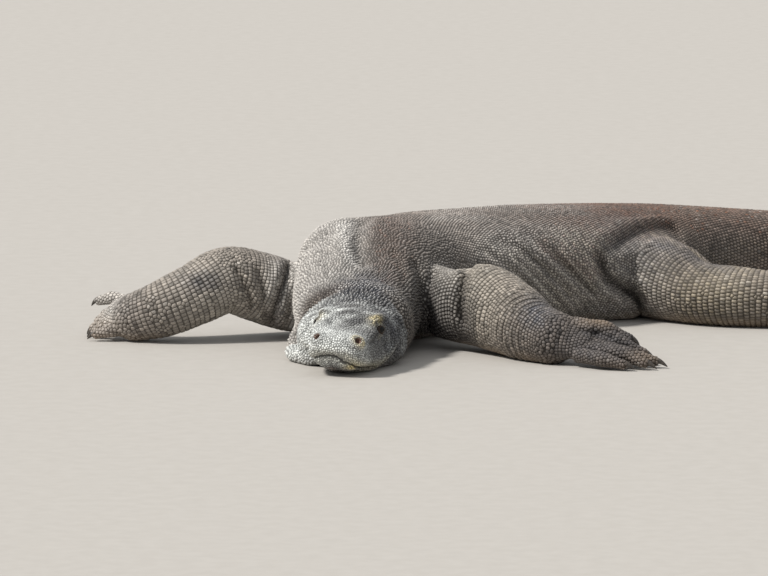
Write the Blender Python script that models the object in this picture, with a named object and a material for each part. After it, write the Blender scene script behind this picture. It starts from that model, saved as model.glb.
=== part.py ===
"""Komodo dragon at rest, life size: a full-grown lizard lying flat on its belly with its chin on the ground.

Metres, +Z up, the ground at Z = 0. The head faces -Y, the trunk curls round to +X and the tail runs on along +X.
The animal is one smooth body, modelled from tapering tubes that melt into each other, then parted with thin cuts where
a person would name its pieces: head, neck, trunk, tail, and the upper limb, lower limb and foot of each leg.
Eyes and claws are pieces of their own, seated in the flesh.
"""

import math

import bmesh
import bpy
import numpy as np
from mathutils import Vector

# ------------------------------------------------------------------ driving sizes
HEAD_YAW = 10.5          # degrees: the snout points a little to -X
HEAD_ROLL = 4.5          # degrees: the left cheek lies lower
SNOUT_AT = (-0.004, -0.012)
EYE_RADIUS = 0.0105
CLAW_LENGTH = {"arm_left": 0.0175, "arm_right": 0.0145, "leg_left": 0.0210, "leg_right": 0.0210}
CUT = 0.0004             # width of the parting cuts
SEAT_GAP = 0.0003        # clearance round eyes and claws
GROUND_SOFT = 0.004      # how softly flesh turns into its flat underside
VOXEL = 0.004
BODY_TRIANGLES = 3990


# ------------------------------------------------------------------ smooth curves and tubes
def smooth_rows(rows, count):
    """Rows on one smooth curve through the given rows, evenly spaced along its chords. The first three columns are a place."""
    rows = np.asarray(rows, float)
    gaps = np.linalg.norm(np.diff(rows[:, :3], axis=0), axis=1)
    at = np.concatenate([[0.0], np.cumsum(gaps)])
    slope = np.empty_like(rows)
    slope[0] = (rows[1] - rows[0]) / gaps[0]
    slope[-1] = (rows[-1] - rows[-2]) / gaps[-1]
    for i in range(1, len(rows) - 1):
        a, b = gaps[i - 1], gaps[i]
        slope[i] = ((rows[i] - rows[i - 1]) / a * b + (rows[i + 1] - rows[i]) / b * a) / (a + b)
    u = np.linspace(0, at[-1], count)
    i = np.clip(np.searchsorted(at, u, side="right") - 1, 0, len(rows) - 2)
    h = gaps[i][:, None]
    x = (u - at[i])[:, None] / h
    return (
        (2 * x**3 - 3 * x**2 + 1) * rows[i]
        + (x**3 - 2 * x**2 + x) * h * slope[i]
        + (3 * x**2 - 2 * x**3) * rows[i + 1]
        + (x**3 - x**2) * h * slope[i + 1]
    )


def unit(v):
    return v / np.maximum(np.linalg.norm(v, axis=-1, keepdims=True), 1e-12)


def smooth_min(a, b, k):
    h = np.clip(1 - np.abs(a - b) / np.maximum(k, 1e-6), 0, 1)
    return np.minimum(a, b) - h * h * k * 0.25


def step(x, lo, hi):
    t = np.clip((x - lo) / (hi - lo), 0, 1)
    return t * t * (3 - 2 * t)


class Tube:
    """A tapering tube of flesh: columns are x, y, z, half width, height above and below the line, and the roundness above and below."""

    def __init__(self, name, rows, count, up, caps, soft=(0.02, 0.02), soft_to=1.0):
        r = smooth_rows(rows, count)
        self.name, self.soft, self.soft_to = name, soft, soft_to
        self.c, self.w, self.hu, self.hd, self.nu, self.nl = r[:, :3], r[:, 3], r[:, 4], r[:, 5], r[:, 6], r[:, 7]
        self.t = unit(np.gradient(self.c, axis=0))
        up = np.broadcast_to(np.asarray(up, float), self.c.shape)
        self.u = unit(up - (up * self.t).sum(1)[:, None] * self.t)
        self.l = np.cross(self.t, self.u)
        self.caps = caps
        self.count = count
        self.length = float(np.linalg.norm(np.diff(self.c, axis=0), axis=1).sum())
        self.gap = self.length / (count - 1)
        reach = float(max(self.w.max(), self.hu.max(), self.hd.max()) + max(caps))
        self.low, self.high = self.c.min(0) - reach, self.c.max(0) + reach

    def along(self, p):
        """Where points lie on the tube: station (in steps), and the offsets to the left, up and past the end."""
        idx = np.empty(len(p), np.int64)
        cc = (self.c**2).sum(1)
        for i in range(0, len(p), 20000):
            q = p[i : i + 20000]
            idx[i : i + 20000] = np.argmin(cc[None, :] - 2 * q @ self.c.T, axis=1)
        t = ((p - self.c[idx]) * self.t[idx]).sum(1) / self.gap
        s = np.clip(idx + np.clip(t, -1, 1), 0, self.count - 1)
        i = np.minimum(s.astype(np.int64), self.count - 2)
        f = (s - i)[:, None]
        mix = lambda a: a[i] * (1 - f) + a[i + 1] * f
        q = p - mix(self.c)
        tt, uu = unit(mix(self.t)), unit(mix(self.u))
        ll = np.cross(tt, uu)
        over = (q * tt).sum(1)
        over = np.where(s <= 0, np.minimum(over, 0), np.where(s >= self.count - 1, np.maximum(over, 0), 0))
        return s, (q * ll).sum(1), (q * uu).sum(1), over

    def size(self, s, a):
        i = np.minimum(s.astype(np.int64), self.count - 2)
        f = s - i
        return a[i] * (1 - f) + a[i + 1] * f

    def depth(self, p):
        """(signed distance, roughly, station as a share of the length)"""
        s, x, y, over = self.along(p)
        n = np.where(y > 0, self.size(s, self.nu), self.size(s, self.nl))
        h = np.where(y > 0, self.size(s, self.hu), self.size(s, self.hd))
        w = self.size(s, self.w)
        cap = np.where(over < 0, self.caps[0], self.caps[1])
        rho = ((np.abs(x) / w) ** n + (np.abs(y) / h) ** n + (np.abs(over) / cap) ** n) ** (1 / n)
        rho = np.maximum(rho, 1e-5)
        r = np.sqrt(x * x + y * y + over * over)
        return r * (1 - 1 / rho), s / (self.count - 1)

    def ring(self, k, scale, shift, turns):
        """One closed ring of points round station k, drawn in by scale and moved along by shift."""
        out = []
        for j in range(turns):
            a = 2 * math.pi * j / turns
            ca, sa = math.cos(a), math.sin(a)
            h, n = (self.hu[k], self.nu[k]) if sa >= 0 else (self.hd[k], self.nl[k])
            r = 1 / ((abs(ca) / self.w[k]) ** n + (abs(sa) / h) ** n) ** (1 / n)
            out.append(self.c[k] + self.t[k] * shift + (self.l[k] * ca + self.u[k] * sa) * r * scale)
        return out


# ------------------------------------------------------------------ the lizard's layout
UP = (0.0, 0.0, 1.0)


def head_frame():
    yaw, roll = math.radians(HEAD_YAW), math.radians(HEAD_ROLL)
    back = np.array([math.sin(yaw), math.cos(yaw), 0.0])
    side = np.array([math.cos(yaw), -math.sin(yaw), 0.0])
    up = np.array([0.0, 0.0, 1.0])
    side_r = side * math.cos(roll) - up * math.sin(roll)
    up_r = up * math.cos(roll) + side * math.sin(roll)
    return back, side_r, up_r


H_BACK, H_SIDE, H_UP = head_frame()
H_AT = np.array([SNOUT_AT[0], SNOUT_AT[1], 0.0])
H_PIVOT = 0.035          # the roll turns about this height


def head_point(a, b, c):
    """A place in the head: a behind the snout tip, b to the animal's left, c above the ground."""
    return H_AT + H_BACK * a + H_SIDE * b + np.array([0, 0, H_PIVOT]) + H_UP * (c - H_PIVOT)


def to_head(p):
    q = p - H_AT - np.array([0, 0, H_PIVOT])
    return q @ H_BACK, q @ H_SIDE, q @ H_UP + H_PIVOT


# behind the snout tip, height of the line, half width, reach up and down, roundness up and down
HEAD_ROWS = [
    (0.030, 0.0365, 0.0430, 0.0290, 0.0350, 2.60, 2.30),
    (0.055, 0.0375, 0.0485, 0.0335, 0.0370, 2.90, 2.45),
    (0.080, 0.0385, 0.0520, 0.0410, 0.0385, 3.20, 2.50),
    (0.100, 0.0390, 0.0550, 0.0455, 0.0390, 3.30, 2.60),
    (0.120, 0.0400, 0.0600, 0.0470, 0.0400, 2.85, 2.65),
    (0.145, 0.0405, 0.0680, 0.0490, 0.0410, 2.35, 2.70),
    (0.172, 0.0415, 0.0730, 0.0520, 0.0420, 2.10, 2.70),
    (0.200, 0.0450, 0.0700, 0.0545, 0.0460, 2.10, 2.60),
    (0.235, 0.0520, 0.0700, 0.0590, 0.0530, 2.15, 2.50),
]
# x, y, z, half width, reach up and down, roundness up and down: skull to tail tip
SPINE_ROWS = [
    (0.022, 0.205, 0.054, 0.070, 0.046, 0.055, 2.3, 2.4),
    (0.024, 0.262, 0.062, 0.088, 0.055, 0.064, 2.3, 2.4),
    (0.030, 0.335, 0.074, 0.100, 0.073, 0.077, 2.3, 2.4),
    (0.050, 0.420, 0.086, 0.113, 0.090, 0.091, 2.4, 2.5),
    (0.110, 0.510, 0.089, 0.122, 0.091, 0.093, 2.4, 2.6),
    (0.205, 0.605, 0.088, 0.138, 0.089, 0.093, 2.4, 2.6),
    (0.305, 0.700, 0.086, 0.150, 0.086, 0.092, 2.4, 2.6),
    (0.400, 0.785, 0.083, 0.144, 0.082, 0.089, 2.4, 2.5),
    (0.495, 0.858, 0.080, 0.110, 0.077, 0.084, 2.3, 2.4),
    (0.600, 0.918, 0.075, 0.087, 0.070, 0.077, 2.2, 2.3),
    (0.720, 0.968, 0.068, 0.074, 0.064, 0.069, 2.1, 2.2),
    (0.860, 1.006, 0.061, 0.061, 0.059, 0.062, 2.0, 2.2),
    (1.020, 1.030, 0.053, 0.046, 0.053, 0.054, 1.9, 2.1),
    (1.200, 1.036, 0.044, 0.034, 0.044, 0.045, 1.9, 2.1),
    (1.380, 1.034, 0.035, 0.026, 0.034, 0.036, 1.9, 2.1),
    (1.550, 1.046, 0.026, 0.019, 0.025, 0.027, 1.9, 2.1),
    (1.690, 1.075, 0.018, 0.013, 0.017, 0.018, 2.0, 2.1),
    (1.790, 1.108, 0.011, 0.008, 0.010, 0.011, 2.0, 2.0),
    (1.860, 1.140, 0.006, 0.004, 0.005, 0.006, 2.0, 2.0),
]
# each limb: x, y, z, half width, reach up and down, down to wrist or ankle
LIMB_ROWS = {
    "arm_left": [
        (0.105, 0.415, 0.078, 0.052, 0.048, 0.052),
        (0.140, 0.368, 0.076, 0.046, 0.044, 0.060),
        (0.172, 0.326, 0.073, 0.046, 0.045, 0.062),
        (0.214, 0.288, 0.070, 0.054, 0.061, 0.063),
        (0.254, 0.244, 0.058, 0.053, 0.054, 0.058),
        (0.286, 0.190, 0.046, 0.045, 0.043, 0.049),
        (0.316, 0.152, 0.039, 0.037, 0.034, 0.041),
    ],
    "arm_right": [
        (-0.030, 0.470, 0.058, 0.060, 0.048, 0.054),
        (-0.075, 0.462, 0.062, 0.056, 0.052, 0.054),
        (-0.122, 0.446, 0.076, 0.053, 0.054, 0.052),
        (-0.170, 0.427, 0.088, 0.052, 0.052, 0.048),
        (-0.218, 0.408, 0.070, 0.048, 0.047, 0.046),
        (-0.270, 0.400, 0.050, 0.043, 0.041, 0.044),
        (-0.308, 0.410, 0.038, 0.036, 0.033, 0.038),
    ],
    "leg_left": [
        (0.452, 0.806, 0.076, 0.080, 0.060, 0.078),
        (0.478, 0.735, 0.066, 0.076, 0.056, 0.068),
        (0.520, 0.664, 0.053, 0.066, 0.051, 0.057),
        (0.582, 0.606, 0.046, 0.057, 0.047, 0.050),
        (0.650, 0.582, 0.043, 0.048, 0.043, 0.046),
        (0.715, 0.586, 0.038, 0.040, 0.037, 0.041),
        (0.780, 0.606, 0.032, 0.030, 0.029, 0.033),
    ],
    "leg_right": [
        (0.455, 0.900, 0.076, 0.078, 0.060, 0.078),
        (0.392, 0.950, 0.064, 0.070, 0.054, 0.066),
        (0.328, 0.985, 0.054, 0.062, 0.050, 0.056),
        (0.272, 1.030, 0.048, 0.055, 0.047, 0.050),
        (0.262, 1.092, 0.043, 0.047, 0.043, 0.046),
        (0.290, 1.150, 0.038, 0.039, 0.036, 0.041),
        (0.335, 1.192, 0.031, 0.030, 0.028, 0.032),
    ],
}
# loose skin that lies against the ground: x, y, z, half width, reach up and down
LOOSE_ROWS = {
    "thigh_lobe": [
        (0.432, 0.690, 0.090, 0.056, 0.034, 0.050),
        (0.468, 0.690, 0.086, 0.066, 0.040, 0.056),
        (0.515, 0.680, 0.072, 0.066, 0.042, 0.056),
    ],
    "scapula_right": [
        (-0.016, 0.440, 0.116, 0.040, 0.048, 0.055),
        (-0.004, 0.470, 0.122, 0.046, 0.050, 0.055),
        (0.028, 0.520, 0.112, 0.050, 0.050, 0.055),
    ],
    "flank_lobe": [
        (0.290, 0.640, 0.050, 0.040, 0.050, 0.052),
        (0.350, 0.655, 0.046, 0.044, 0.046, 0.050),
        (0.400, 0.668, 0.034, 0.042, 0.034, 0.038),
        (0.434, 0.672, 0.024, 0.034, 0.025, 0.026),
    ],
    "jowl_right": [
        (-0.050, 0.144, 0.009, 0.010, 0.007, 0.009),
        (-0.062, 0.168, 0.010, 0.012, 0.008, 0.010),
        (-0.065, 0.196, 0.013, 0.015, 0.011, 0.013),
        (-0.056, 0.230, 0.020, 0.020, 0.018, 0.020),
    ],
    "throat": [
        (0.020, 0.080, 0.018, 0.034, 0.012, 0.020),
        (0.026, 0.140, 0.020, 0.052, 0.015, 0.022),
        (0.028, 0.200, 0.025, 0.062, 0.019, 0.027),
        (0.026, 0.270, 0.034, 0.080, 0.026, 0.036),
    ],
}
# each foot: where the palm starts and ends, its half width and thickness, which way its back faces,
# then five digits as root offset across, turn from the palm's line, length, lift at the end, thickness
FEET = {
    "arm_left": dict(start=(0.314, 0.156, 0.041), end=(0.364, 0.136, 0.036), wide=0.036, thick=0.0185, faces=(0, -0.62, 0.78)),
    "arm_right": dict(start=(-0.304, 0.407, 0.039), end=(-0.340, 0.440, 0.036), wide=0.035, thick=0.0185, faces=(-0.30, -0.55, 0.78)),
    "leg_left": dict(start=(0.776, 0.603, 0.032), end=(0.842, 0.560, 0.023), wide=0.036, thick=0.0195, faces=(0.05, -0.05, 1.0)),
    "leg_right": dict(start=(0.332, 1.190, 0.031), end=(0.318, 1.262, 0.023), wide=0.036, thick=0.0195, faces=(0.0, 0.05, 1.0)),
}
# digits as places along each: x, y, z of root, knuckle, tip, then radius at root and tip; first to fifth
DIGIT_ROWS = {
    "arm_left": [
        [(0.352, 0.112, 0.018), (0.386, 0.082, 0.015), (0.418, 0.068, 0.009), 0.0120, 0.0078],
        [(0.362, 0.122, 0.026), (0.408, 0.094, 0.021), (0.448, 0.078, 0.010), 0.0120, 0.0080],
        [(0.366, 0.134, 0.030), (0.420, 0.112, 0.020), (0.464, 0.098, 0.010), 0.0120, 0.0080],
        [(0.362, 0.146, 0.040), (0.408, 0.136, 0.0345), (0.450, 0.124, 0.0165), 0.0134, 0.0088],
        [(0.350, 0.156, 0.055), (0.392, 0.153, 0.050), (0.428, 0.146, 0.036), 0.0136, 0.0088],
    ],
    "arm_right": [
        [(-0.322, 0.408, 0.020), (-0.346, 0.402, 0.016), (-0.368, 0.404, 0.010), 0.0115, 0.0075],
        [(-0.328, 0.420, 0.026), (-0.350, 0.424, 0.022), (-0.370, 0.434, 0.011), 0.0118, 0.0078],
        [(-0.332, 0.434, 0.034), (-0.354, 0.448, 0.027), (-0.374, 0.466, 0.011), 0.0118, 0.0078],
        [(-0.330, 0.446, 0.040), (-0.350, 0.470, 0.032), (-0.368, 0.496, 0.018), 0.0115, 0.0078],
        [(-0.322, 0.448, 0.054), (-0.344, 0.462, 0.058), (-0.366, 0.478, 0.052), 0.0112, 0.0078],
    ],
    "leg_left": [
        [(0.816, 0.560, 0.019), (0.832, 0.528, 0.016), (0.846, 0.500, 0.010), 0.0115, 0.0078],
        [(0.832, 0.552, 0.020), (0.858, 0.512, 0.017), (0.880, 0.476, 0.010), 0.0120, 0.0080],
        [(0.844, 0.560, 0.020), (0.882, 0.522, 0.018), (0.914, 0.486, 0.010), 0.0122, 0.0082],
        [(0.850, 0.570, 0.020), (0.900, 0.546, 0.018), (0.944, 0.520, 0.010), 0.0122, 0.0082],
        [(0.826, 0.592, 0.020), (0.868, 0.592, 0.017), (0.904, 0.586, 0.010), 0.0115, 0.0078],
    ],
    "leg_right": [
        [(0.304, 1.240, 0.019), (0.276, 1.260, 0.016), (0.250, 1.272, 0.010), 0.0115, 0.0078],
        [(0.304, 1.258, 0.020), (0.272, 1.290, 0.017), (0.244, 1.320, 0.010), 0.0120, 0.0080],
        [(0.316, 1.270, 0.020), (0.296, 1.318, 0.018), (0.276, 1.358, 0.010), 0.0122, 0.0082],
        [(0.328, 1.272, 0.020), (0.326, 1.326, 0.018), (0.322, 1.376, 0.010), 0.0122, 0.0082],
        [(0.342, 1.248, 0.020), (0.366, 1.282, 0.017), (0.388, 1.312, 0.010), 0.0115, 0.0078],
    ],
}


def make_tubes():
    """Every tube of flesh by the mass it belongs to, with the softness of its join to what came before it there."""
    rows = []
    for a, z, w, hu, hd, nu, nl in HEAD_ROWS:
        rows.append((*head_point(a, 0, z), w, hu, hd, nu, nl))
    groups = {
        "body": [(Tube("spine", SPINE_ROWS, 330, UP, (0.05, 0.008)), 0.0), (Tube("head", rows, 60, H_UP, (0.032, 0.05)), 0.022)],
    }
    loose = {name: Tube(name, [(*r, 2.1, 2.2) for r in rows], 40, UP, (0.03, 0.03)) for name, rows in LOOSE_ROWS.items()}
    for name in ("flank_lobe", "jowl_right", "throat", "scapula_right"):
        groups["body"].append((loose[name], 0.030))
    for name, part in LIMB_ROWS.items():
        groups[name] = [(Tube(name, [(*r, 2.05, 2.1) for r in part], 90, UP, (0.03, 0.03)), 0.0)]
        if name == "leg_left":
            groups[name].append((loose["thigh_lobe"], 0.040))
        foot = FEET[name]
        s, e = np.array(foot["start"]), np.array(foot["end"])
        rows = []
        for f, w, h in ((0.0, 0.92, 1.45), (0.5, 0.98, 1.12), (1.0, 1.0, 0.9)):
            rows.append((*(s + (e - s) * f), foot["wide"] * w, foot["thick"] * h, foot["thick"] * h, 2.2, 2.4))
        groups[name].append((Tube(name + "_palm", rows, 24, foot["faces"], (0.02, 0.012)), 0.016))
        for k, (p0, p1, p2, r0, r1) in enumerate(DIGIT_ROWS[name]):
            a, b, c = np.array(p0), np.array(p1), np.array(p2)
            rows = [
                (*a, r0 * 1.02, r0, r0, 2.1, 2.1),
                (*(a * 0.5 + b * 0.5), r0 * 0.94, r0 * 0.95, r0 * 0.92, 2.1, 2.1),
                (*b, r0 * 0.96, r0 * 1.0, r0 * 0.9, 2.1, 2.1),
                (*(b * 0.4 + c * 0.6), r1 * 1.1, r1 * 1.12, r1 * 1.0, 2.1, 2.1),
                (*c, r1, r1, r1 * 0.9, 2.1, 2.1),
            ]
            groups[name].append((Tube(f"{name}_digit_{k + 1}", rows, 40, foot["faces"], (0.008, r1 * 0.9)), 0.004))
    return groups


# soft lumps: middle, half sizes, direction of the long way, how far they raise the flesh
def bump(p, middle, sizes, along=None, turn=None):
    q = p - np.asarray(middle, float)
    if along is not None:
        a = unit(np.asarray(along, float))
        up = np.array([0.0, 0.0, 1.0]) if turn is None else unit(np.asarray(turn, float))
        b = unit(np.cross(up, a))
        c = np.cross(a, b)
        q = np.stack([q @ a, q @ b, q @ c], 1)
    r2 = ((q / np.asarray(sizes, float)) ** 2).sum(1)
    return np.where(r2 < 1, (1 - np.minimum(r2, 1)) ** 2, 0.0)


EYES = {"right": (0.098, -0.0420, 0.0635), "left": (0.098, 0.0425, 0.0635)}
EYE_WAY = (-0.60, 0.78, 0.12)             # where the left eye looks
NOSTRIL = (0.0130, 0.0275, 0.0540)       # behind the tip, to the side, up
# the mouth line: how far round the muzzle, and its height on the left and on the right side
MOUTH = [(-0.010, 0.0335), (0.004, 0.0315), (0.012, 0.0240), (0.030, 0.0175), (0.060, 0.0125), (0.100, 0.0115), (0.130, 0.0170), (0.158, 0.0340), (0.200, 0.0500)]
MOUTH_RIGHT = [(-0.010, 0.0335), (0.004, 0.0335), (0.012, 0.0312), (0.022, 0.0268), (0.040, 0.0222), (0.063, 0.0182), (0.100, 0.0155), (0.130, 0.0195), (0.158, 0.0345), (0.200, 0.0500)]
# creases of the head: places, half width, depth
CREASES = [
    ([(0.076, 0.046, 0.064), (0.056, 0.046, 0.053), (0.034, 0.043, 0.047)], 0.0040, 0.0024),
    ([(0.112, 0.054, 0.050), (0.102, 0.056, 0.040), (0.096, 0.055, 0.030)], 0.0030, 0.0022),
    ([(0.126, 0.059, 0.064), (0.121, 0.062, 0.048), (0.121, 0.063, 0.034)], 0.0032, 0.0022),
    ([(0.150, 0.073, 0.066), (0.144, 0.077, 0.046), (0.150, 0.078, 0.030)], 0.0040, 0.0036),
    ([(0.168, 0.074, 0.076), (0.172, 0.081, 0.052), (0.170, 0.081, 0.026)], 0.0045, 0.0032),
    ([(0.030, 0.010, 0.067), (0.050, 0.016, 0.069), (0.075, 0.022, 0.073)], 0.0060, 0.0014),
    ([(0.010, 0.016, 0.010), (0.030, 0.030, 0.008), (0.060, 0.040, 0.006)], 0.0035, 0.0022),
    ([(0.150, 0.030, 0.092), (0.162, 0.055, 0.086), (0.176, 0.070, 0.070)], 0.0050, 0.0020),
]


def on_line(x, table):
    t = np.asarray(table, float)
    i = np.clip(np.searchsorted(t[:, 0], x) - 1, 0, len(t) - 2)
    h = np.clip((x - t[i, 0]) / (t[i + 1, 0] - t[i, 0]), 0, 1)
    h = h * h * (3 - 2 * h) * 0.5 + h * 0.5
    return t[i, 1] + (t[i + 1, 1] - t[i, 1]) * h


def mouth_line(a, b):
    """Height of the mouth line at a place in the head; the head's right side lies a little higher on the ground."""
    u = a + 0.35 * np.abs(b)
    k = step(b, -0.012, 0.012)
    return on_line(u, MOUTH) * k + on_line(u, MOUTH_RIGHT) * (1 - k)


def bell(x, s):
    return np.exp(-((x / s) ** 2))


def head_shape(p, f):
    """Brows, eye hollows and lids, nostrils, lips, cheeks, ears and creases of the head."""
    a, b, c = to_head(p)
    near = (a > -0.03) & (a < 0.30) & (np.abs(b) < 0.12) & (c < 0.16)
    if not near.any():
        return f
    g = f[near]
    a, b, c = a[near], b[near], c[near]
    ab = np.abs(b)
    m = np.stack([a, ab, c], 1)
    # muzzle: flatter between nostrils and brows, hollow in front of the eye, full upper lip
    g = g - 0.0040 * bump(m, (0.060, 0.0430, 0.0640), (0.042, 0.012, 0.014), (0.96, 0.10, 0.26))
    g = g + 0.0030 * bump(m, (0.060, 0.0180, 0.0720), (0.032, 0.014, 0.014))
    g = g + 0.0032 * bump(m, (0.066, 0.0540, 0.0520), (0.032, 0.016, 0.012))
    g = g - 0.0025 * bump(m, (0.105, 0.0000, 0.0800), (0.040, 0.026, 0.018))
    # brow shelf over the eye, and the hollow round it
    g = g - 0.0060 * bump(m, (0.096, 0.0440, 0.0820), (0.036, 0.017, 0.014), (0.97, 0.10, 0.10))
    g = g - 0.0040 * bump(m, (0.128, 0.0500, 0.0840), (0.030, 0.022, 0.016))
    ex, ey, ez = EYES["left"]
    e = np.sqrt(((a - ex + 0.003) * 0.92) ** 2 + (c - ez + 0.0015) ** 2)
    side = step(ab, 0.030, 0.040)
    g = g + 0.0055 * np.exp(-((e / 0.0125) ** 4)) * side
    g = g - 0.0026 * bell(e - 0.0155, 0.0042) * side * step(-(c - ez), -0.004, 0.008)
    # nostrils: a swelling, a rim and a hole that opens forward and outward
    na, nb, nc = NOSTRIL
    g = g - 0.0060 * bump(m, (na + 0.004, nb + 0.001, nc - 0.001), (0.024, 0.017, 0.0165))
    way = unit(np.array([-0.72, 0.55, 0.42]))
    q = m - np.array([na, nb, nc])
    deep = q @ way
    off = np.sqrt(np.maximum((q**2).sum(1) - deep**2, 0))
    g = g - 0.0022 * bell(off - 0.0082, 0.0030) * step(deep, -0.012, -0.002)
    g = g + 0.0100 * np.exp(-((off / 0.0044) ** 4)) * step(deep, -0.014, -0.006)
    # mouth line: the upper lip hangs over the lower
    round_ = a + 0.35 * ab
    line = c - mouth_line(a, b)
    fade = (1 - step(round_, 0.150, 0.185)) * step(c, -0.002, 0.004)
    g = g + fade * (0.0055 * bell(line, 0.0026) - 0.0022 * bell(line - 0.0085, 0.0060) + 0.0030 * bell(line + 0.0090, 0.0075))
    g = g + 0.0055 * (1 - step(a, 0.000, 0.045)) * step(-line, 0.000, 0.012)
    # cheek and jowl, ear
    g = g - 0.0035 * bump(m, (0.160, 0.0740, 0.0400), (0.062, 0.026, 0.034))
    g = g - 0.0190 * bump(np.stack([a, b, c], 1), (0.160, -0.0740, 0.0380), (0.080, 0.038, 0.048))
    g = g + 0.0035 * bump(np.stack([a, b, c], 1), (0.170, 0.0760, 0.0480), (0.060, 0.030, 0.040))
    g = g - 0.0030 * bump(m, (0.120, 0.0640, 0.0300), (0.040, 0.020, 0.020))
    ear = np.sqrt(((a - 0.186) / 0.75) ** 2 + (c - 0.0600) ** 2)
    g = g + (0.0085 * np.exp(-((ear / 0.0062) ** 4)) - 0.0026 * bell(ear - 0.0110, 0.0040)) * step(ab, 0.045, 0.060)
    # creases
    for path, wide, deep in CREASES:
        q = np.asarray(path)
        part = np.nonzero(near_box(m, q.min(0), q.max(0), 0.02))[0]
        if len(part):
            d, t, _ = to_path(m[part], path, (0.35, 0.75, 0.55) if q[:, 2].mean() > 0.065 else (0.0, 1.0, 0.0))
            g[part] = g[part] + deep * bell(d, wide) * step(t, 0.0, 0.25) * (1 - step(t, 0.75, 1.0))
    f = f.copy()
    f[near] = g
    return f


LIMB_JOIN = {"arm_left": 0.010, "arm_right": 0.010, "leg_left": 0.008, "leg_right": 0.010}


def near_box(p, low, high, room):
    return ((p > low - room) & (p < high + room)).all(1)


def body_depth(p, groups):
    """Signed depth of the whole animal at points p, and which tube is nearest."""
    f = np.full(len(p), 1.0)
    who = np.full(len(p), -1)
    best = np.full(len(p), 1.0)
    n = 0
    for name, members in groups.items():
        low = np.min([t.low for t, _ in members], 0)
        high = np.max([t.high for t, _ in members], 0)
        m = np.nonzero(near_box(p, low, high, 0.03))[0]
        g = np.full(len(m), 1.0)
        q = p[m]
        for tube, k in members:
            n += 1
            part = np.nonzero(near_box(q, tube.low, tube.high, 0.03))[0]
            if not len(part):
                continue
            d, _ = tube.depth(q[part])
            if tube.name == "head":
                d = head_shape(q[part], d)
            closer = d < best[m[part]]
            who[m[part[closer]]] = n - 1
            best[m[part]] = np.minimum(best[m[part]], d)
            g[part] = smooth_min(g[part], d, k) if k > 0 else np.minimum(g[part], d)
        if len(m):
            k = LIMB_JOIN.get(name, 0.0)
            f[m] = smooth_min(f[m], g, k) if k > 0 else np.minimum(f[m], g)
    f = extra_shape(p, f)
    # flat underside at the ground
    low = -p[:, 2]
    h = np.clip(1 - np.abs(f - low) / GROUND_SOFT, 0, 1)
    return np.maximum(f, low) + h * h * GROUND_SOFT * 0.25, who


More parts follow.
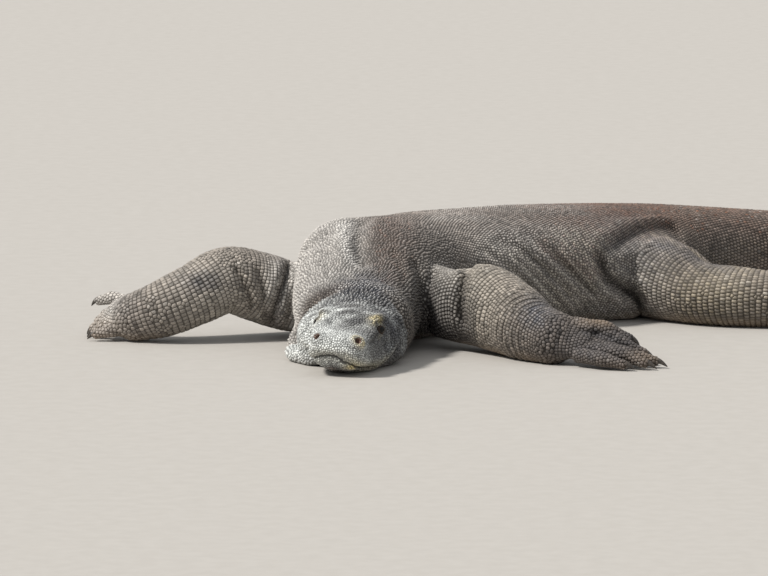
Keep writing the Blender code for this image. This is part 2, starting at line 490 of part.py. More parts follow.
# folds: places along each, then how wide and how deep it is and how much the flesh swells beside it
FRONT = (0.0, -0.99, 0.12)
NAPE = (0.0, -0.40, 0.92)
FOLDS = [
    # right shoulder against the body, and the next skin strip
    ([(-0.078, 0.425, 0.125), (-0.080, 0.417, 0.103), (-0.091, 0.402, 0.071), (-0.101, 0.400, 0.040), (-0.104, 0.405, 0.012)], 0.0065, 0.0100, 0.0030, FRONT),
    ([(-0.066, 0.360, 0.125), (-0.073, 0.372, 0.090), (-0.075, 0.385, 0.055), (-0.077, 0.400, 0.014)], 0.0060, 0.0065, 0.0020, FRONT),
    # crease up the nape to the shoulders
    ([(0.034, 0.500, 0.178), (0.033, 0.455, 0.176), (0.032, 0.414, 0.167), (0.028, 0.375, 0.155), (0.032, 0.330, 0.138), (0.040, 0.272, 0.121)], 0.0135, 0.0110, 0.0015, NAPE),
    # neck folds on the inside of its bend
    ([(0.104, 0.345, 0.138), (0.116, 0.322, 0.110), (0.120, 0.300, 0.085), (0.112, 0.262, 0.060)], 0.0075, 0.0060, 0.0020, FRONT),
    ([(0.076, 0.330, 0.150), (0.094, 0.290, 0.118), (0.100, 0.262, 0.090)], 0.0065, 0.0040, 0.0020, FRONT),
    # left shoulder against the neck
    ([(0.142, 0.318, 0.126), (0.137, 0.300, 0.090), (0.136, 0.308, 0.050), (0.138, 0.330, 0.016)], 0.0080, 0.0110, 0.0020, FRONT),
    # left elbow: the valley between upper arm and forearm
    ([(0.196, 0.300, 0.138), (0.190, 0.268, 0.118), (0.184, 0.244, 0.092), (0.184, 0.238, 0.064), (0.192, 0.241, 0.036)], 0.0075, 0.0100, 0.0020, FRONT),
    # inside of the right elbow
    ([(-0.160, 0.385, 0.122), (-0.150, 0.384, 0.100), (-0.137, 0.391, 0.073), (-0.130, 0.402, 0.044)], 0.0055, 0.0055, 0.0020, FRONT),
    ([(-0.128, 0.396, 0.120), (-0.118, 0.392, 0.090), (-0.113, 0.396, 0.060), (-0.112, 0.410, 0.026)], 0.0055, 0.0050, 0.0020, FRONT),
    # left thigh against the flank, and over its top
    ([(0.390, 0.600, 0.122), (0.397, 0.595, 0.098), (0.404, 0.597, 0.078), (0.431, 0.620, 0.055), (0.458, 0.640, 0.036), (0.468, 0.650, 0.008)], 0.0088, 0.0125, 0.0040, FRONT),
    ([(0.399, 0.592, 0.090), (0.409, 0.598, 0.113), (0.431, 0.630, 0.126), (0.466, 0.675, 0.135), (0.511, 0.735, 0.130), (0.545, 0.690, 0.111), (0.564, 0.640, 0.099), (0.608, 0.600, 0.092)], 0.0110, 0.0105, 0.0040, FRONT),
    # between the upper finger and the rest of the left hand
    ([(0.346, 0.122, 0.054), (0.366, 0.120, 0.050), (0.388, 0.118, 0.045), (0.410, 0.114, 0.040)], 0.0042, 0.0045, 0.0012, FRONT),
    # finer slack skin between the broad folds of the flank
    ([(0.250, 0.500, 0.146), (0.284, 0.505, 0.120), (0.324, 0.524, 0.086), (0.362, 0.568, 0.034)], 0.0050, 0.0032, 0.0018, FRONT),
    ([(0.296, 0.535, 0.150), (0.320, 0.533, 0.118), (0.354, 0.550, 0.084), (0.398, 0.598, 0.040)], 0.0048, 0.0032, 0.0018, FRONT),
    ([(0.206, 0.462, 0.140), (0.238, 0.470, 0.118), (0.276, 0.490, 0.084), (0.312, 0.530, 0.036)], 0.0050, 0.0030, 0.0016, FRONT),
    # slack skin along the flank
    ([(0.225, 0.480, 0.150), (0.262, 0.488, 0.128), (0.306, 0.510, 0.089), (0.342, 0.550, 0.036)], 0.0120, 0.0055, 0.0030, FRONT),
    ([(0.270, 0.520, 0.158), (0.302, 0.522, 0.126), (0.342, 0.538, 0.086), (0.385, 0.585, 0.034)], 0.0110, 0.0055, 0.0030, FRONT),
    ([(0.318, 0.550, 0.144), (0.335, 0.545, 0.112), (0.364, 0.560, 0.082), (0.410, 0.610, 0.046)], 0.0090, 0.0050, 0.0020, FRONT),
]


# broad swellings and hollows: middle, half sizes, how far they lower the flesh
DENTS = [
    ((0.050, 0.330, 0.148), (0.042, 0.120, 0.055), 0.0100),
    ((0.004, 0.350, 0.160), (0.026, 0.110, 0.045), -0.0060),
]


def to_path(p, path, facing):
    """Distance from points to a smooth path as seen along one direction, how far along it they are, and how far before or behind."""
    line = smooth_rows(np.asarray(path, float), 20)
    n = unit(np.asarray(facing, float))
    flat = p - (p @ n)[:, None] * n
    deep = p @ n
    best = np.full(len(p), 9.0)
    at = np.zeros(len(p))
    ahead = np.zeros(len(p))
    for i in range(len(line) - 1):
        a, d = line[i], line[i + 1] - line[i]
        fa, fd = a - (a @ n) * n, d - (d @ n) * n
        t = np.clip(((flat - fa) @ fd) / (fd @ fd), 0, 1)
        r = np.linalg.norm(flat - fa - t[:, None] * fd, axis=1)
        near = r < best
        best = np.where(near, r, best)
        at = np.where(near, (i + t) / (len(line) - 1), at)
        ahead = np.where(near, deep - (a @ n) - t * (d @ n), ahead)
    return best, at, ahead


def extra_shape(p, f):
    """Folds pressed into the skin, and its broad swellings."""
    for middle, sizes, lower in DENTS:
        q = np.asarray(middle)
        m = np.nonzero(near_box(p, q - sizes, q + sizes, 0.0) & (np.abs(f) < 0.03))[0]
        if len(m):
            f = f.copy()
            f[m] = f[m] + lower * bump(p[m], middle, sizes)
    for path, wide, deep, swell, facing in FOLDS:
        q = np.asarray(path)
        m = np.nonzero(near_box(p, q.min(0), q.max(0), 0.05) & (np.abs(f) < 0.03))[0]
        if not len(m):
            continue
        d, t, ahead = to_path(p[m], path, facing)
        fade = step(t, 0.0, 0.18) * (1 - step(t, 0.82, 1.0)) * (1 - step(np.abs(ahead), 0.028, 0.045))
        f = f.copy()
        f[m] = f[m] + (deep * np.exp(-((d / wide) ** 2)) - swell * np.exp(-(((d - 2.2 * wide) / wide) ** 2))) * fade
    # groove where the jowls end and the neck begins
    a, b, c = to_head(p)
    ring = np.exp(-(((a - 0.207) / 0.011) ** 2)) * step(np.abs(b), 0.030, 0.060) * (c < 0.12) * (np.abs(b) < 0.12)
    return f + 0.0100 * ring


# ------------------------------------------------------------------ where the animal is parted
# middle, direction and radius of each thin plate
PARTING = {
    "neck_front": ((0.0228, 0.2323, 0.0578), (0.03, 1.0, 0.0), 0.110),
    "neck_back": ((0.018, 0.338, 0.060), (0.423, 0.906, 0.0), 0.121),
    "trunk_middle": ((0.2584, 0.6564, 0.0871), (0.725, 0.688, 0.0), 0.158),
    "tail_root": ((0.5826, 0.9092, 0.0759), (0.889, 0.459, 0.0), 0.102),
    "tail_first": ((0.8274, 0.9987, 0.0626), (0.973, 0.229, 0.0), 0.076),
    "tail_second": ((1.12, 1.0351, 0.048), (1.0, 0.019, 0.0), 0.058),
    "tail_third": ((1.4224, 1.0355, 0.0328), (0.999, 0.04, 0.0), 0.042),
    "shoulder_left": ((0.1700, 0.334, 0.0700), (0.834, -0.551, -0.03), 0.0720),
    "elbow_left": ((0.2382, 0.2631, 0.0634), (0.667, -0.736, -0.112), 0.070),
    "wrist_left": ((0.3064, 0.1638, 0.0411), (0.633, -0.771, -0.069), 0.0518),
    "shoulder_right": ((-0.0766, 0.4616, 0.0623), (-0.991, 0.094, 0.096), 0.0701),
    "elbow_right": ((-0.2109, 0.4102, 0.073), (-0.927, -0.311, -0.209), 0.0601),
    "wrist_right": ((-0.2954, 0.4062, 0.0419), (-0.942, 0.302, -0.144), 0.0496),
    "hip_left": ((0.5153, 0.6701, 0.054), (0.727, -0.683, -0.068), 0.092),
    "knee_left": ((0.6109, 0.5917, 0.0447), (0.937, -0.349, -0.018), 0.0626),
    "ankle_left": ((0.7607, 0.5995, 0.0338), (0.943, 0.331, -0.045), 0.0479),
    "hip_right": ((0.3934, 0.949, 0.0642), (-0.442, 0.894, -0.072), 0.094),
    "knee_right": ((0.2619, 1.0637, 0.0452), (-0.121, 0.992, -0.038), 0.0606),
    "ankle_right": ((0.3208, 1.1797, 0.0332), (0.645, 0.762, -0.059), 0.0479),
}
# about where the middle of each piece lies
LANDMARKS = {
    "head": (0.01, 0.09, 0.05),
    "neck": (0.02, 0.29, 0.07),
    "trunk_front": (0.10, 0.50, 0.09),
    "trunk_rear": (0.43, 0.78, 0.08),
    "tail_1": (0.70, 0.95, 0.06),
    "tail_2": (0.97, 1.02, 0.05),
    "tail_3": (1.27, 1.03, 0.04),
    "tail_4": (1.64, 1.08, 0.02),
    "upper_arm_left": (0.20, 0.30, 0.07),
    "forearm_left": (0.275, 0.215, 0.05),
    "hand_left": (0.385, 0.12, 0.03),
    "upper_arm_right": (-0.14, 0.44, 0.07),
    "forearm_right": (-0.25, 0.40, 0.06),
    "hand_right": (-0.35, 0.44, 0.03),
    "thigh_left": (0.56, 0.64, 0.05),
    "shin_left": (0.69, 0.59, 0.04),
    "foot_left": (0.85, 0.55, 0.02),
    "thigh_right": (0.32, 0.99, 0.05),
    "shin_right": (0.28, 1.12, 0.04),
    "foot_right": (0.31, 1.28, 0.02),
}


# ------------------------------------------------------------------ claws
# each claw grows from the tip of its digit, curves down and ends in a point
def claw_rings(root, ahead, down, length, radius, bend, grow):
    """Rings along one curved claw; grow swells it evenly to make the seat it needs."""
    side = np.cross(ahead, down)
    rings = []
    place, aim = root - ahead * (0.0045 + grow), ahead.copy()
    steps = 4
    for i in range(steps + 1):
        t = i / steps
        r = radius * (1 - t) ** 0.75 * (0.85 + 0.15 * min(1.0, t * 6)) + 0.0004 + grow
        over = unit(np.cross(aim, side))
        ring = [place + (side * math.cos(q) * 0.72 + over * math.sin(q)) * r for q in (2 * math.pi * j / 6 for j in range(6))]
        for spot in ring:
            spot[2] = max(spot[2], 0.0008 - grow)
        rings.append(ring)
        hop = (length + 0.0045) / steps
        turn = bend / steps
        aim = unit(aim * math.cos(turn) + down * math.sin(turn) * 1.0)
        place = place + aim * hop
    return rings


def claw_specs(tubes):
    specs = []
    for foot in LIMB_ROWS:
        fore = foot.startswith("arm")
        for k in range(5):
            tube = next(t for t, _ in tubes[foot] if t.name == f"{foot}_digit_{k + 1}")
            tip, ahead = tube.c[-1], tube.t[-1]
            level = unit(np.array([ahead[0], ahead[1], 0.0]))
            rise = min(0.0, ahead[2])
            ahead = unit(level + np.array([0, 0, rise * 0.6]))
            root = tip + ahead * (tube.w[-1] * 0.45) + np.array([0, 0, tube.w[-1] * 0.25])
            length = CLAW_LENGTH[foot] * (0.85 if k == 0 else 1.0)
            drop = root[2] - 0.0035
            bend = min(1.05, max(0.10, drop / length * 1.4))
            down = unit(np.array([0, 0, -1.0]) + ahead * ahead[2])
            specs.append((foot, k + 1, root, ahead, down, length, tube.w[-1] * 0.62, bend))
    return specs


# ------------------------------------------------------------------ solids
def mesh_object(name, verts, faces):
    mesh = bpy.data.meshes.new(name)
    mesh.from_pydata([tuple(v) for v in verts], [], faces)
    mesh.update()
    obj = bpy.data.objects.new(name, mesh)
    bpy.context.scene.collection.objects.link(obj)
    return obj


def loft(bm, rings):
    """Skin a row of rings into one closed sleeve."""
    turns = len(rings[0])
    rows = [[bm.verts.new(p) for p in ring] for ring in rings]
    for a, b in zip(rows, rows[1:]):
        for j in range(turns):
            k = (j + 1) % turns
            bm.faces.new((a[j], a[k], b[k], b[j]))
    bm.faces.new(rows[0][::-1])
    bm.faces.new(rows[-1])


def tube_rings(tube, spacing, turns):
    rings = []
    hops = max(4, int(round(tube.length / spacing)))
    for cap, k, sign in ((tube.caps[0], 0, -1), (None, None, 0), (tube.caps[1], tube.count - 1, 1)):
        if sign == 0:
            for i in range(hops + 1):
                rings.append(tube.ring(min(tube.count - 1, round(i * (tube.count - 1) / hops)), 1.0, 0.0, turns))
            continue
        angles = [math.radians(q) for q in (80, 60, 40, 20)]
        cap_rings = [tube.ring(k, math.cos(q), sign * cap * math.sin(q), turns) for q in angles]
        rings += cap_rings if sign < 0 else cap_rings[::-1]
    return rings


def apply_modifiers(obj):
    """Keep the shape the modifiers give and drop the modifiers."""
    graph = bpy.context.evaluated_depsgraph_get()
    fresh = bpy.data.meshes.new_from_object(obj.evaluated_get(graph))
    obj.modifiers.clear()
    obj.data = fresh
    return obj


def mesh_points(mesh):
    co = np.empty(len(mesh.vertices) * 3)
    mesh.vertices.foreach_get("co", co)
    return co.reshape(-1, 3)


def settle(mesh, func, rounds):
    """Move every vertex straight on to the zero of func."""
    p = mesh_points(mesh)
    e = 0.0004
    for _ in range(rounds):
        f = func(p)
        g = np.stack([(func(p + d) - func(p - d)) / (2 * e) for d in np.eye(3) * e], 1)
        p = p - (np.clip(f, -0.004, 0.004) / np.maximum((g * g).sum(1), 0.25))[:, None] * g
    mesh.vertices.foreach_set("co", p.ravel())
    mesh.update()


def difference(target, cutter):
    mod = target.modifiers.new("cut", "BOOLEAN")
    mod.operation = "DIFFERENCE"
    mod.solver = "EXACT"
    mod.object = cutter
    cutter.hide_render = True
    cutter.display_type = "WIRE"
    bpy.context.view_layer.update()
    apply_modifiers(target)


def disc(bm, middle, normal, radius, thick):
    """One thin round plate."""
    n = unit(np.asarray(normal, float))
    helper = np.array([0.0, 0.0, 1.0]) if abs(n[2]) < 0.9 else np.array([1.0, 0.0, 0.0])
    a = unit(np.cross(helper, n))
    b = np.cross(n, a)
    m = np.asarray(middle, float)
    rings = []
    for s in (-0.5, 0.5):
        rings.append([m + n * thick * s + (a * math.cos(q) + b * math.sin(q)) * radius for q in (2 * math.pi * (j + 0.5) / 36 for j in range(36))])
    loft(bm, rings)


def bm_object(name, bm):
    bmesh.ops.recalc_face_normals(bm, faces=bm.faces[:])
    mesh = bpy.data.meshes.new(name)
    bm.to_mesh(mesh)
    bm.free()
    obj = bpy.data.objects.new(name, mesh)
    bpy.context.scene.collection.objects.link(obj)
    return obj


def make_material(name, color, roughness):
    mat = bpy.data.materials.new(name)
    mat.use_nodes = True
    shader = mat.node_tree.nodes["Principled BSDF"]
    shader.inputs["Base Color"].default_value = (*color, 1.0)
    shader.inputs["Roughness"].default_value = roughness
    return mat


for old in list(bpy.data.objects):
    bpy.data.objects.remove(old, do_unlink=True)

SKIN = ("skin", (0.150, 0.135, 0.115), 0.80)
HORN = ("horn", (0.030, 0.027, 0.024), 0.45)
EYE = ("eye", (0.030, 0.018, 0.010), 0.12)

tubes = make_tubes()


def surface(p):
    return body_depth(p, tubes)[0]


# sleeves of every tube, melted together
bm = bmesh.new()
for tube in [t for members in tubes.values() for t, _ in members]:
    small = "digit" in tube.name
    loft(bm, tube_rings(tube, 0.006 if small else 0.012, 14 if small else 32))
body = bm_object("body", bm)
mod = body.modifiers.new("melt", "REMESH")
mod.mode = "VOXEL"
mod.voxel_size = VOXEL
mod.adaptivity = 0.0
apply_modifiers(body)
settle(body.data, surface, 4)

# thin out: flat flesh to large triangles, tight curves to small ones
mod = body.modifiers.new("thin", "DECIMATE")
mod.decimate_type = "COLLAPSE"
mod.use_collapse_triangulate = True
mod.ratio = BODY_TRIANGLES / (2.0 * len(body.data.polygons))
apply_modifiers(body)
points = mesh_points(body.data)
points[:, 2] = np.where(points[:, 2] < 0.0006, 0.0, points[:, 2])
body.data.vertices.foreach_set("co", points.ravel())
body.data.update()

# the parting cuts
for middle, normal, radius in PARTING.values():
    bm = bmesh.new()
    disc(bm, middle, normal, radius, CUT)
    cutter = bm_object("parting", bm)
    difference(body, cutter)
    bpy.data.objects.remove(cutter, do_unlink=True)

# one object for each loose piece, named by the nearest landmark
bm = bmesh.new()
bm.from_mesh(body.data)
left = set(bm.faces)
pieces = []
while left:
    seed = next(iter(left))
    group, queue = {seed}, [seed]
    while queue:
        for edge in queue.pop().edges:
            for face in edge.link_faces:
                if face not in group:
                    group.add(face)
                    queue.append(face)
    left -= group
    if len(group) > 40:
        pieces.append(group)
parts = {}
for group in pieces:
    verts = sorted({v for f in group for v in f.verts}, key=lambda v: v.index)
    index = {v: i for i, v in enumerate(verts)}
    co = np.array([v.co[:] for v in verts])
    faces = [[index[v] for v in f.verts] for f in sorted(group, key=lambda f: f.index)]
    middle = (co.min(0) + co.max(0)) / 2
    name = min(LANDMARKS, key=lambda n: np.linalg.norm(middle - np.asarray(LANDMARKS[n])))
    while name in parts:
        name += "_more"
    parts[name] = mesh_object(name, co, faces)
bm.free()
bpy.data.objects.remove(body, do_unlink=True)

# eyeballs in their sockets
for side in ("left", "right"):
    a, b, c = EYES[side]
    spot = head_point(a, b, c)
    for name, grow in ((f"eye_{side}", 0.0), ("socket", SEAT_GAP)):
        bm = bmesh.new()
        bmesh.ops.create_uvsphere(bm, u_segments=14, v_segments=8, radius=EYE_RADIUS + grow)
        turn = Vector(tuple(H_SIDE * np.sign(b))).to_track_quat("Z", "Y").to_matrix().to_4x4()
        turn.translation = Vector(tuple(spot))
        bmesh.ops.transform(bm, matrix=turn, verts=bm.verts[:])
        ball = bm_object(name, bm)
        if grow:
            difference(parts["head"], ball)
            bpy.data.objects.remove(ball, do_unlink=True)
        else:
            parts[name] = ball

# claws in the digits
for foot in LIMB_ROWS:
    bm = bmesh.new()
    for owner, number, root, ahead, down, length, radius, bend in claw_specs(tubes):
        if owner != foot:
            continue
        single = bmesh.new()
        loft(single, claw_rings(root, ahead, down, length, radius, bend, 0.0))
        name = f"claw_{foot}_{number}"
        parts[name] = bm_object(name, single)
        loft(bm, claw_rings(root, ahead, down, length, radius, bend, SEAT_GAP))
    seat = bm_object("seat", bm)
    difference(parts[foot.replace("arm", "hand").replace("leg", "foot")], seat)
    bpy.data.objects.remove(seat, do_unlink=True)

# tidy every piece: triangles, outward faces, nothing thinner than a hair
for name, obj in parts.items():
    bm = bmesh.new()
    bm.from_mesh(obj.data)
    bmesh.ops.remove_doubles(bm, verts=bm.verts[:], dist=0.00005)
    bmesh.ops.dissolve_degenerate(bm, edges=bm.edges[:], dist=0.00002)
    bmesh.ops.triangulate(bm, faces=bm.faces[:])
    bmesh.ops.recalc_face_normals(bm, faces=bm.faces[:])
    bm.to_mesh(obj.data)
    bm.free()

# stand the model with the middle of its footprint at the origin
everything = np.concatenate([mesh_points(o.data) for o in parts.values()])
shift = (everything.min(0) + everything.max(0)) / 2
shift[2] = 0.0
for name, obj in parts.items():
    points = mesh_points(obj.data) - shift
    obj.data.vertices.foreach_set("co", points.ravel())
    obj.data.update()
    slot = EYE if name.startswith("eye") else HORN if name.startswith("claw") else SKIN
    tint = make_material(f"{slot[0]}_{name}", slot[1], slot[2])
    obj.data.materials.clear()
    obj.data.materials.append(tint)
    obj.name = name
    obj.data.name = name
bpy.context.view_layer.update()
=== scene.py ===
"""Looks of the Komodo dragon: one skin over the whole animal, its scales as solid mesh, eyes, claws, plain floor and light.

The flesh comes from the same tubes that the solids were modelled from, drawn in by the depth of the coat, so that the
tops of the scales lie where the solids' faces do. Scales are set in rows along each part, each one a low dome or a keel,
with fine irregular ones on the head, and fill-ins where rows meet.
"""

import math

import bmesh
import bpy
import numpy as np
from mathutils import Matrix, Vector
from mathutils.bvhtree import BVHTree
from mathutils.kdtree import KDTree


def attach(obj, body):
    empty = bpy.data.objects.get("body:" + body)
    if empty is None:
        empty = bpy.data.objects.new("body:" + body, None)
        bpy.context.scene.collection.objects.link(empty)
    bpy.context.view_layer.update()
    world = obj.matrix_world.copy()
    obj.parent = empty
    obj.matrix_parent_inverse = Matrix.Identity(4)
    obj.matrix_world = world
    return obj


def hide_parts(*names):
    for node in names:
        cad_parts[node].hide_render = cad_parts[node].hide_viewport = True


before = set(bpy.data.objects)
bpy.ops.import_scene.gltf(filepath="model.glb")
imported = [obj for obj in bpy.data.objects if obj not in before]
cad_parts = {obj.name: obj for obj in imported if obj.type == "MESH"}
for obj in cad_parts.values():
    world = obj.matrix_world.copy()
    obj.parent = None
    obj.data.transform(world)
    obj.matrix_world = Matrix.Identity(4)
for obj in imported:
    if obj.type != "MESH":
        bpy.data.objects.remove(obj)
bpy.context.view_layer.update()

HEAD_YAW = 10.5
HEAD_ROLL = 4.5
SNOUT_AT = (-0.004, -0.012)
EYE_RADIUS = 0.0105
CLAW_LENGTH = {"arm_left": 0.0175, "arm_right": 0.0145, "leg_left": 0.0210, "leg_right": 0.0210}
GROUND_SOFT = 0.004
COAT = 0.0014            # depth of the coat: the skin lies this far inside the solids
SKIN_CELL = 0.0224       # the skin's first cell, halved twice
SHIFT = np.array([0.7405475527048111, 0.6900468710809946, 0.0])   # from the layout's origin to the row's


# ------------------------------------------------------------------ smooth curves and tubes
def smooth_rows(rows, count):
    """Rows on one smooth curve through the given rows, evenly spaced along its chords. The first three columns are a place."""
    rows = np.asarray(rows, float)
    gaps = np.linalg.norm(np.diff(rows[:, :3], axis=0), axis=1)
    at = np.concatenate([[0.0], np.cumsum(gaps)])
    slope = np.empty_like(rows)
    slope[0] = (rows[1] - rows[0]) / gaps[0]
    slope[-1] = (rows[-1] - rows[-2]) / gaps[-1]
    for i in range(1, len(rows) - 1):
        a, b = gaps[i - 1], gaps[i]
        slope[i] = ((rows[i] - rows[i - 1]) / a * b + (rows[i + 1] - rows[i]) / b * a) / (a + b)
    u = np.linspace(0, at[-1], count)
    i = np.clip(np.searchsorted(at, u, side="right") - 1, 0, len(rows) - 2)
    h = gaps[i][:, None]
    x = (u - at[i])[:, None] / h
    return (
        (2 * x**3 - 3 * x**2 + 1) * rows[i]
        + (x**3 - 2 * x**2 + x) * h * slope[i]
        + (3 * x**2 - 2 * x**3) * rows[i + 1]
        + (x**3 - x**2) * h * slope[i + 1]
    )


def unit(v):
    return v / np.maximum(np.linalg.norm(v, axis=-1, keepdims=True), 1e-12)


def smooth_min(a, b, k):
    h = np.clip(1 - np.abs(a - b) / np.maximum(k, 1e-6), 0, 1)
    return np.minimum(a, b) - h * h * k * 0.25


def step(x, lo, hi):
    t = np.clip((x - lo) / (hi - lo), 0, 1)
    return t * t * (3 - 2 * t)


class Tube:
    """A tapering tube of flesh: columns are x, y, z, half width, height above and below the line, and the roundness above and below."""

    def __init__(self, name, rows, count, up, caps, soft=(0.02, 0.02), soft_to=1.0):
        r = smooth_rows(rows, count)
        self.name, self.soft, self.soft_to = name, soft, soft_to
        self.c, self.w, self.hu, self.hd, self.nu, self.nl = r[:, :3], r[:, 3], r[:, 4], r[:, 5], r[:, 6], r[:, 7]
        self.t = unit(np.gradient(self.c, axis=0))
        up = np.broadcast_to(np.asarray(up, float), self.c.shape)
        self.u = unit(up - (up * self.t).sum(1)[:, None] * self.t)
        self.l = np.cross(self.t, self.u)
        self.caps = caps
        self.count = count
        self.length = float(np.linalg.norm(np.diff(self.c, axis=0), axis=1).sum())
        self.gap = self.length / (count - 1)
        reach = float(max(self.w.max(), self.hu.max(), self.hd.max()) + max(caps))
        self.low, self.high = self.c.min(0) - reach, self.c.max(0) + reach

    def along(self, p):
        """Where points lie on the tube: station (in steps), and the offsets to the left, up and past the end."""
        idx = np.empty(len(p), np.int64)
        cc = (self.c**2).sum(1)
        for i in range(0, len(p), 20000):
            q = p[i : i + 20000]
            idx[i : i + 20000] = np.argmin(cc[None, :] - 2 * q @ self.c.T, axis=1)
        t = ((p - self.c[idx]) * self.t[idx]).sum(1) / self.gap
        s = np.clip(idx + np.clip(t, -1, 1), 0, self.count - 1)
        i = np.minimum(s.astype(np.int64), self.count - 2)
        f = (s - i)[:, None]
        mix = lambda a: a[i] * (1 - f) + a[i + 1] * f
        q = p - mix(self.c)
        tt, uu = unit(mix(self.t)), unit(mix(self.u))
        ll = np.cross(tt, uu)
        over = (q * tt).sum(1)
        over = np.where(s <= 0, np.minimum(over, 0), np.where(s >= self.count - 1, np.maximum(over, 0), 0))
        return s, (q * ll).sum(1), (q * uu).sum(1), over

    def size(self, s, a):
        i = np.minimum(s.astype(np.int64), self.count - 2)
        f = s - i
        return a[i] * (1 - f) + a[i + 1] * f

    def depth(self, p):
        """(signed distance, roughly, station as a share of the length)"""
        s, x, y, over = self.along(p)
        n = np.where(y > 0, self.size(s, self.nu), self.size(s, self.nl))
        h = np.where(y > 0, self.size(s, self.hu), self.size(s, self.hd))
        w = self.size(s, self.w)
        cap = np.where(over < 0, self.caps[0], self.caps[1])
        rho = ((np.abs(x) / w) ** n + (np.abs(y) / h) ** n + (np.abs(over) / cap) ** n) ** (1 / n)
        rho = np.maximum(rho, 1e-5)
        r = np.sqrt(x * x + y * y + over * over)
        return r * (1 - 1 / rho), s / (self.count - 1)

    def ring(self, k, scale, shift, turns):
        """One closed ring of points round station k, drawn in by scale and moved along by shift."""
        out = []
        for j in range(turns):
            a = 2 * math.pi * j / turns
            ca, sa = math.cos(a), math.sin(a)
            h, n = (self.hu[k], self.nu[k]) if sa >= 0 else (self.hd[k], self.nl[k])
            r = 1 / ((abs(ca) / self.w[k]) ** n + (abs(sa) / h) ** n) ** (1 / n)
            out.append(self.c[k] + self.t[k] * shift + (self.l[k] * ca + self.u[k] * sa) * r * scale)
        return out


# ------------------------------------------------------------------ the lizard's layout
UP = (0.0, 0.0, 1.0)


def head_frame():
    yaw, roll = math.radians(HEAD_YAW), math.radians(HEAD_ROLL)
    back = np.array([math.sin(yaw), math.cos(yaw), 0.0])
    side = np.array([math.cos(yaw), -math.sin(yaw), 0.0])
    up = np.array([0.0, 0.0, 1.0])
    side_r = side * math.cos(roll) - up * math.sin(roll)
    up_r = up * math.cos(roll) + side * math.sin(roll)
    return back, side_r, up_r


H_BACK, H_SIDE, H_UP = head_frame()
H_AT = np.array([SNOUT_AT[0], SNOUT_AT[1], 0.0])
H_PIVOT = 0.035          # the roll turns about this height


def head_point(a, b, c):
    """A place in the head: a behind the snout tip, b to the animal's left, c above the ground."""
    return H_AT + H_BACK * a + H_SIDE * b + np.array([0, 0, H_PIVOT]) + H_UP * (c - H_PIVOT)


def to_head(p):
    q = p - H_AT - np.array([0, 0, H_PIVOT])
    return q @ H_BACK, q @ H_SIDE, q @ H_UP + H_PIVOT


# behind the snout tip, height of the line, half width, reach up and down, roundness up and down
HEAD_ROWS = [
    (0.030, 0.0365, 0.0430, 0.0290, 0.0350, 2.60, 2.30),
    (0.055, 0.0375, 0.0485, 0.0335, 0.0370, 2.90, 2.45),
    (0.080, 0.0385, 0.0520, 0.0410, 0.0385, 3.20, 2.50),
    (0.100, 0.0390, 0.0550, 0.0455, 0.0390, 3.30, 2.60),
    (0.120, 0.0400, 0.0600, 0.0470, 0.0400, 2.85, 2.65),
    (0.145, 0.0405, 0.0680, 0.0490, 0.0410, 2.35, 2.70),
    (0.172, 0.0415, 0.0730, 0.0520, 0.0420, 2.10, 2.70),
    (0.200, 0.0450, 0.0700, 0.0545, 0.0460, 2.10, 2.60),
    (0.235, 0.0520, 0.0700, 0.0590, 0.0530, 2.15, 2.50),
]
# x, y, z, half width, reach up and down, roundness up and down: skull to tail tip
SPINE_ROWS = [
    (0.022, 0.205, 0.054, 0.070, 0.046, 0.055, 2.3, 2.4),
    (0.024, 0.262, 0.062, 0.088, 0.055, 0.064, 2.3, 2.4),
    (0.030, 0.335, 0.074, 0.100, 0.073, 0.077, 2.3, 2.4),
    (0.050, 0.420, 0.086, 0.113, 0.090, 0.091, 2.4, 2.5),
    (0.110, 0.510, 0.089, 0.122, 0.091, 0.093, 2.4, 2.6),
    (0.205, 0.605, 0.088, 0.138, 0.089, 0.093, 2.4, 2.6),
    (0.305, 0.700, 0.086, 0.150, 0.086, 0.092, 2.4, 2.6),
    (0.400, 0.785, 0.083, 0.144, 0.082, 0.089, 2.4, 2.5),
    (0.495, 0.858, 0.080, 0.110, 0.077, 0.084, 2.3, 2.4),
    (0.600, 0.918, 0.075, 0.087, 0.070, 0.077, 2.2, 2.3),
    (0.720, 0.968, 0.068, 0.074, 0.064, 0.069, 2.1, 2.2),
    (0.860, 1.006, 0.061, 0.061, 0.059, 0.062, 2.0, 2.2),
    (1.020, 1.030, 0.053, 0.046, 0.053, 0.054, 1.9, 2.1),
    (1.200, 1.036, 0.044, 0.034, 0.044, 0.045, 1.9, 2.1),
    (1.380, 1.034, 0.035, 0.026, 0.034, 0.036, 1.9, 2.1),
    (1.550, 1.046, 0.026, 0.019, 0.025, 0.027, 1.9, 2.1),
    (1.690, 1.075, 0.018, 0.013, 0.017, 0.018, 2.0, 2.1),
    (1.790, 1.108, 0.011, 0.008, 0.010, 0.011, 2.0, 2.0),
    (1.860, 1.140, 0.006, 0.004, 0.005, 0.006, 2.0, 2.0),
]
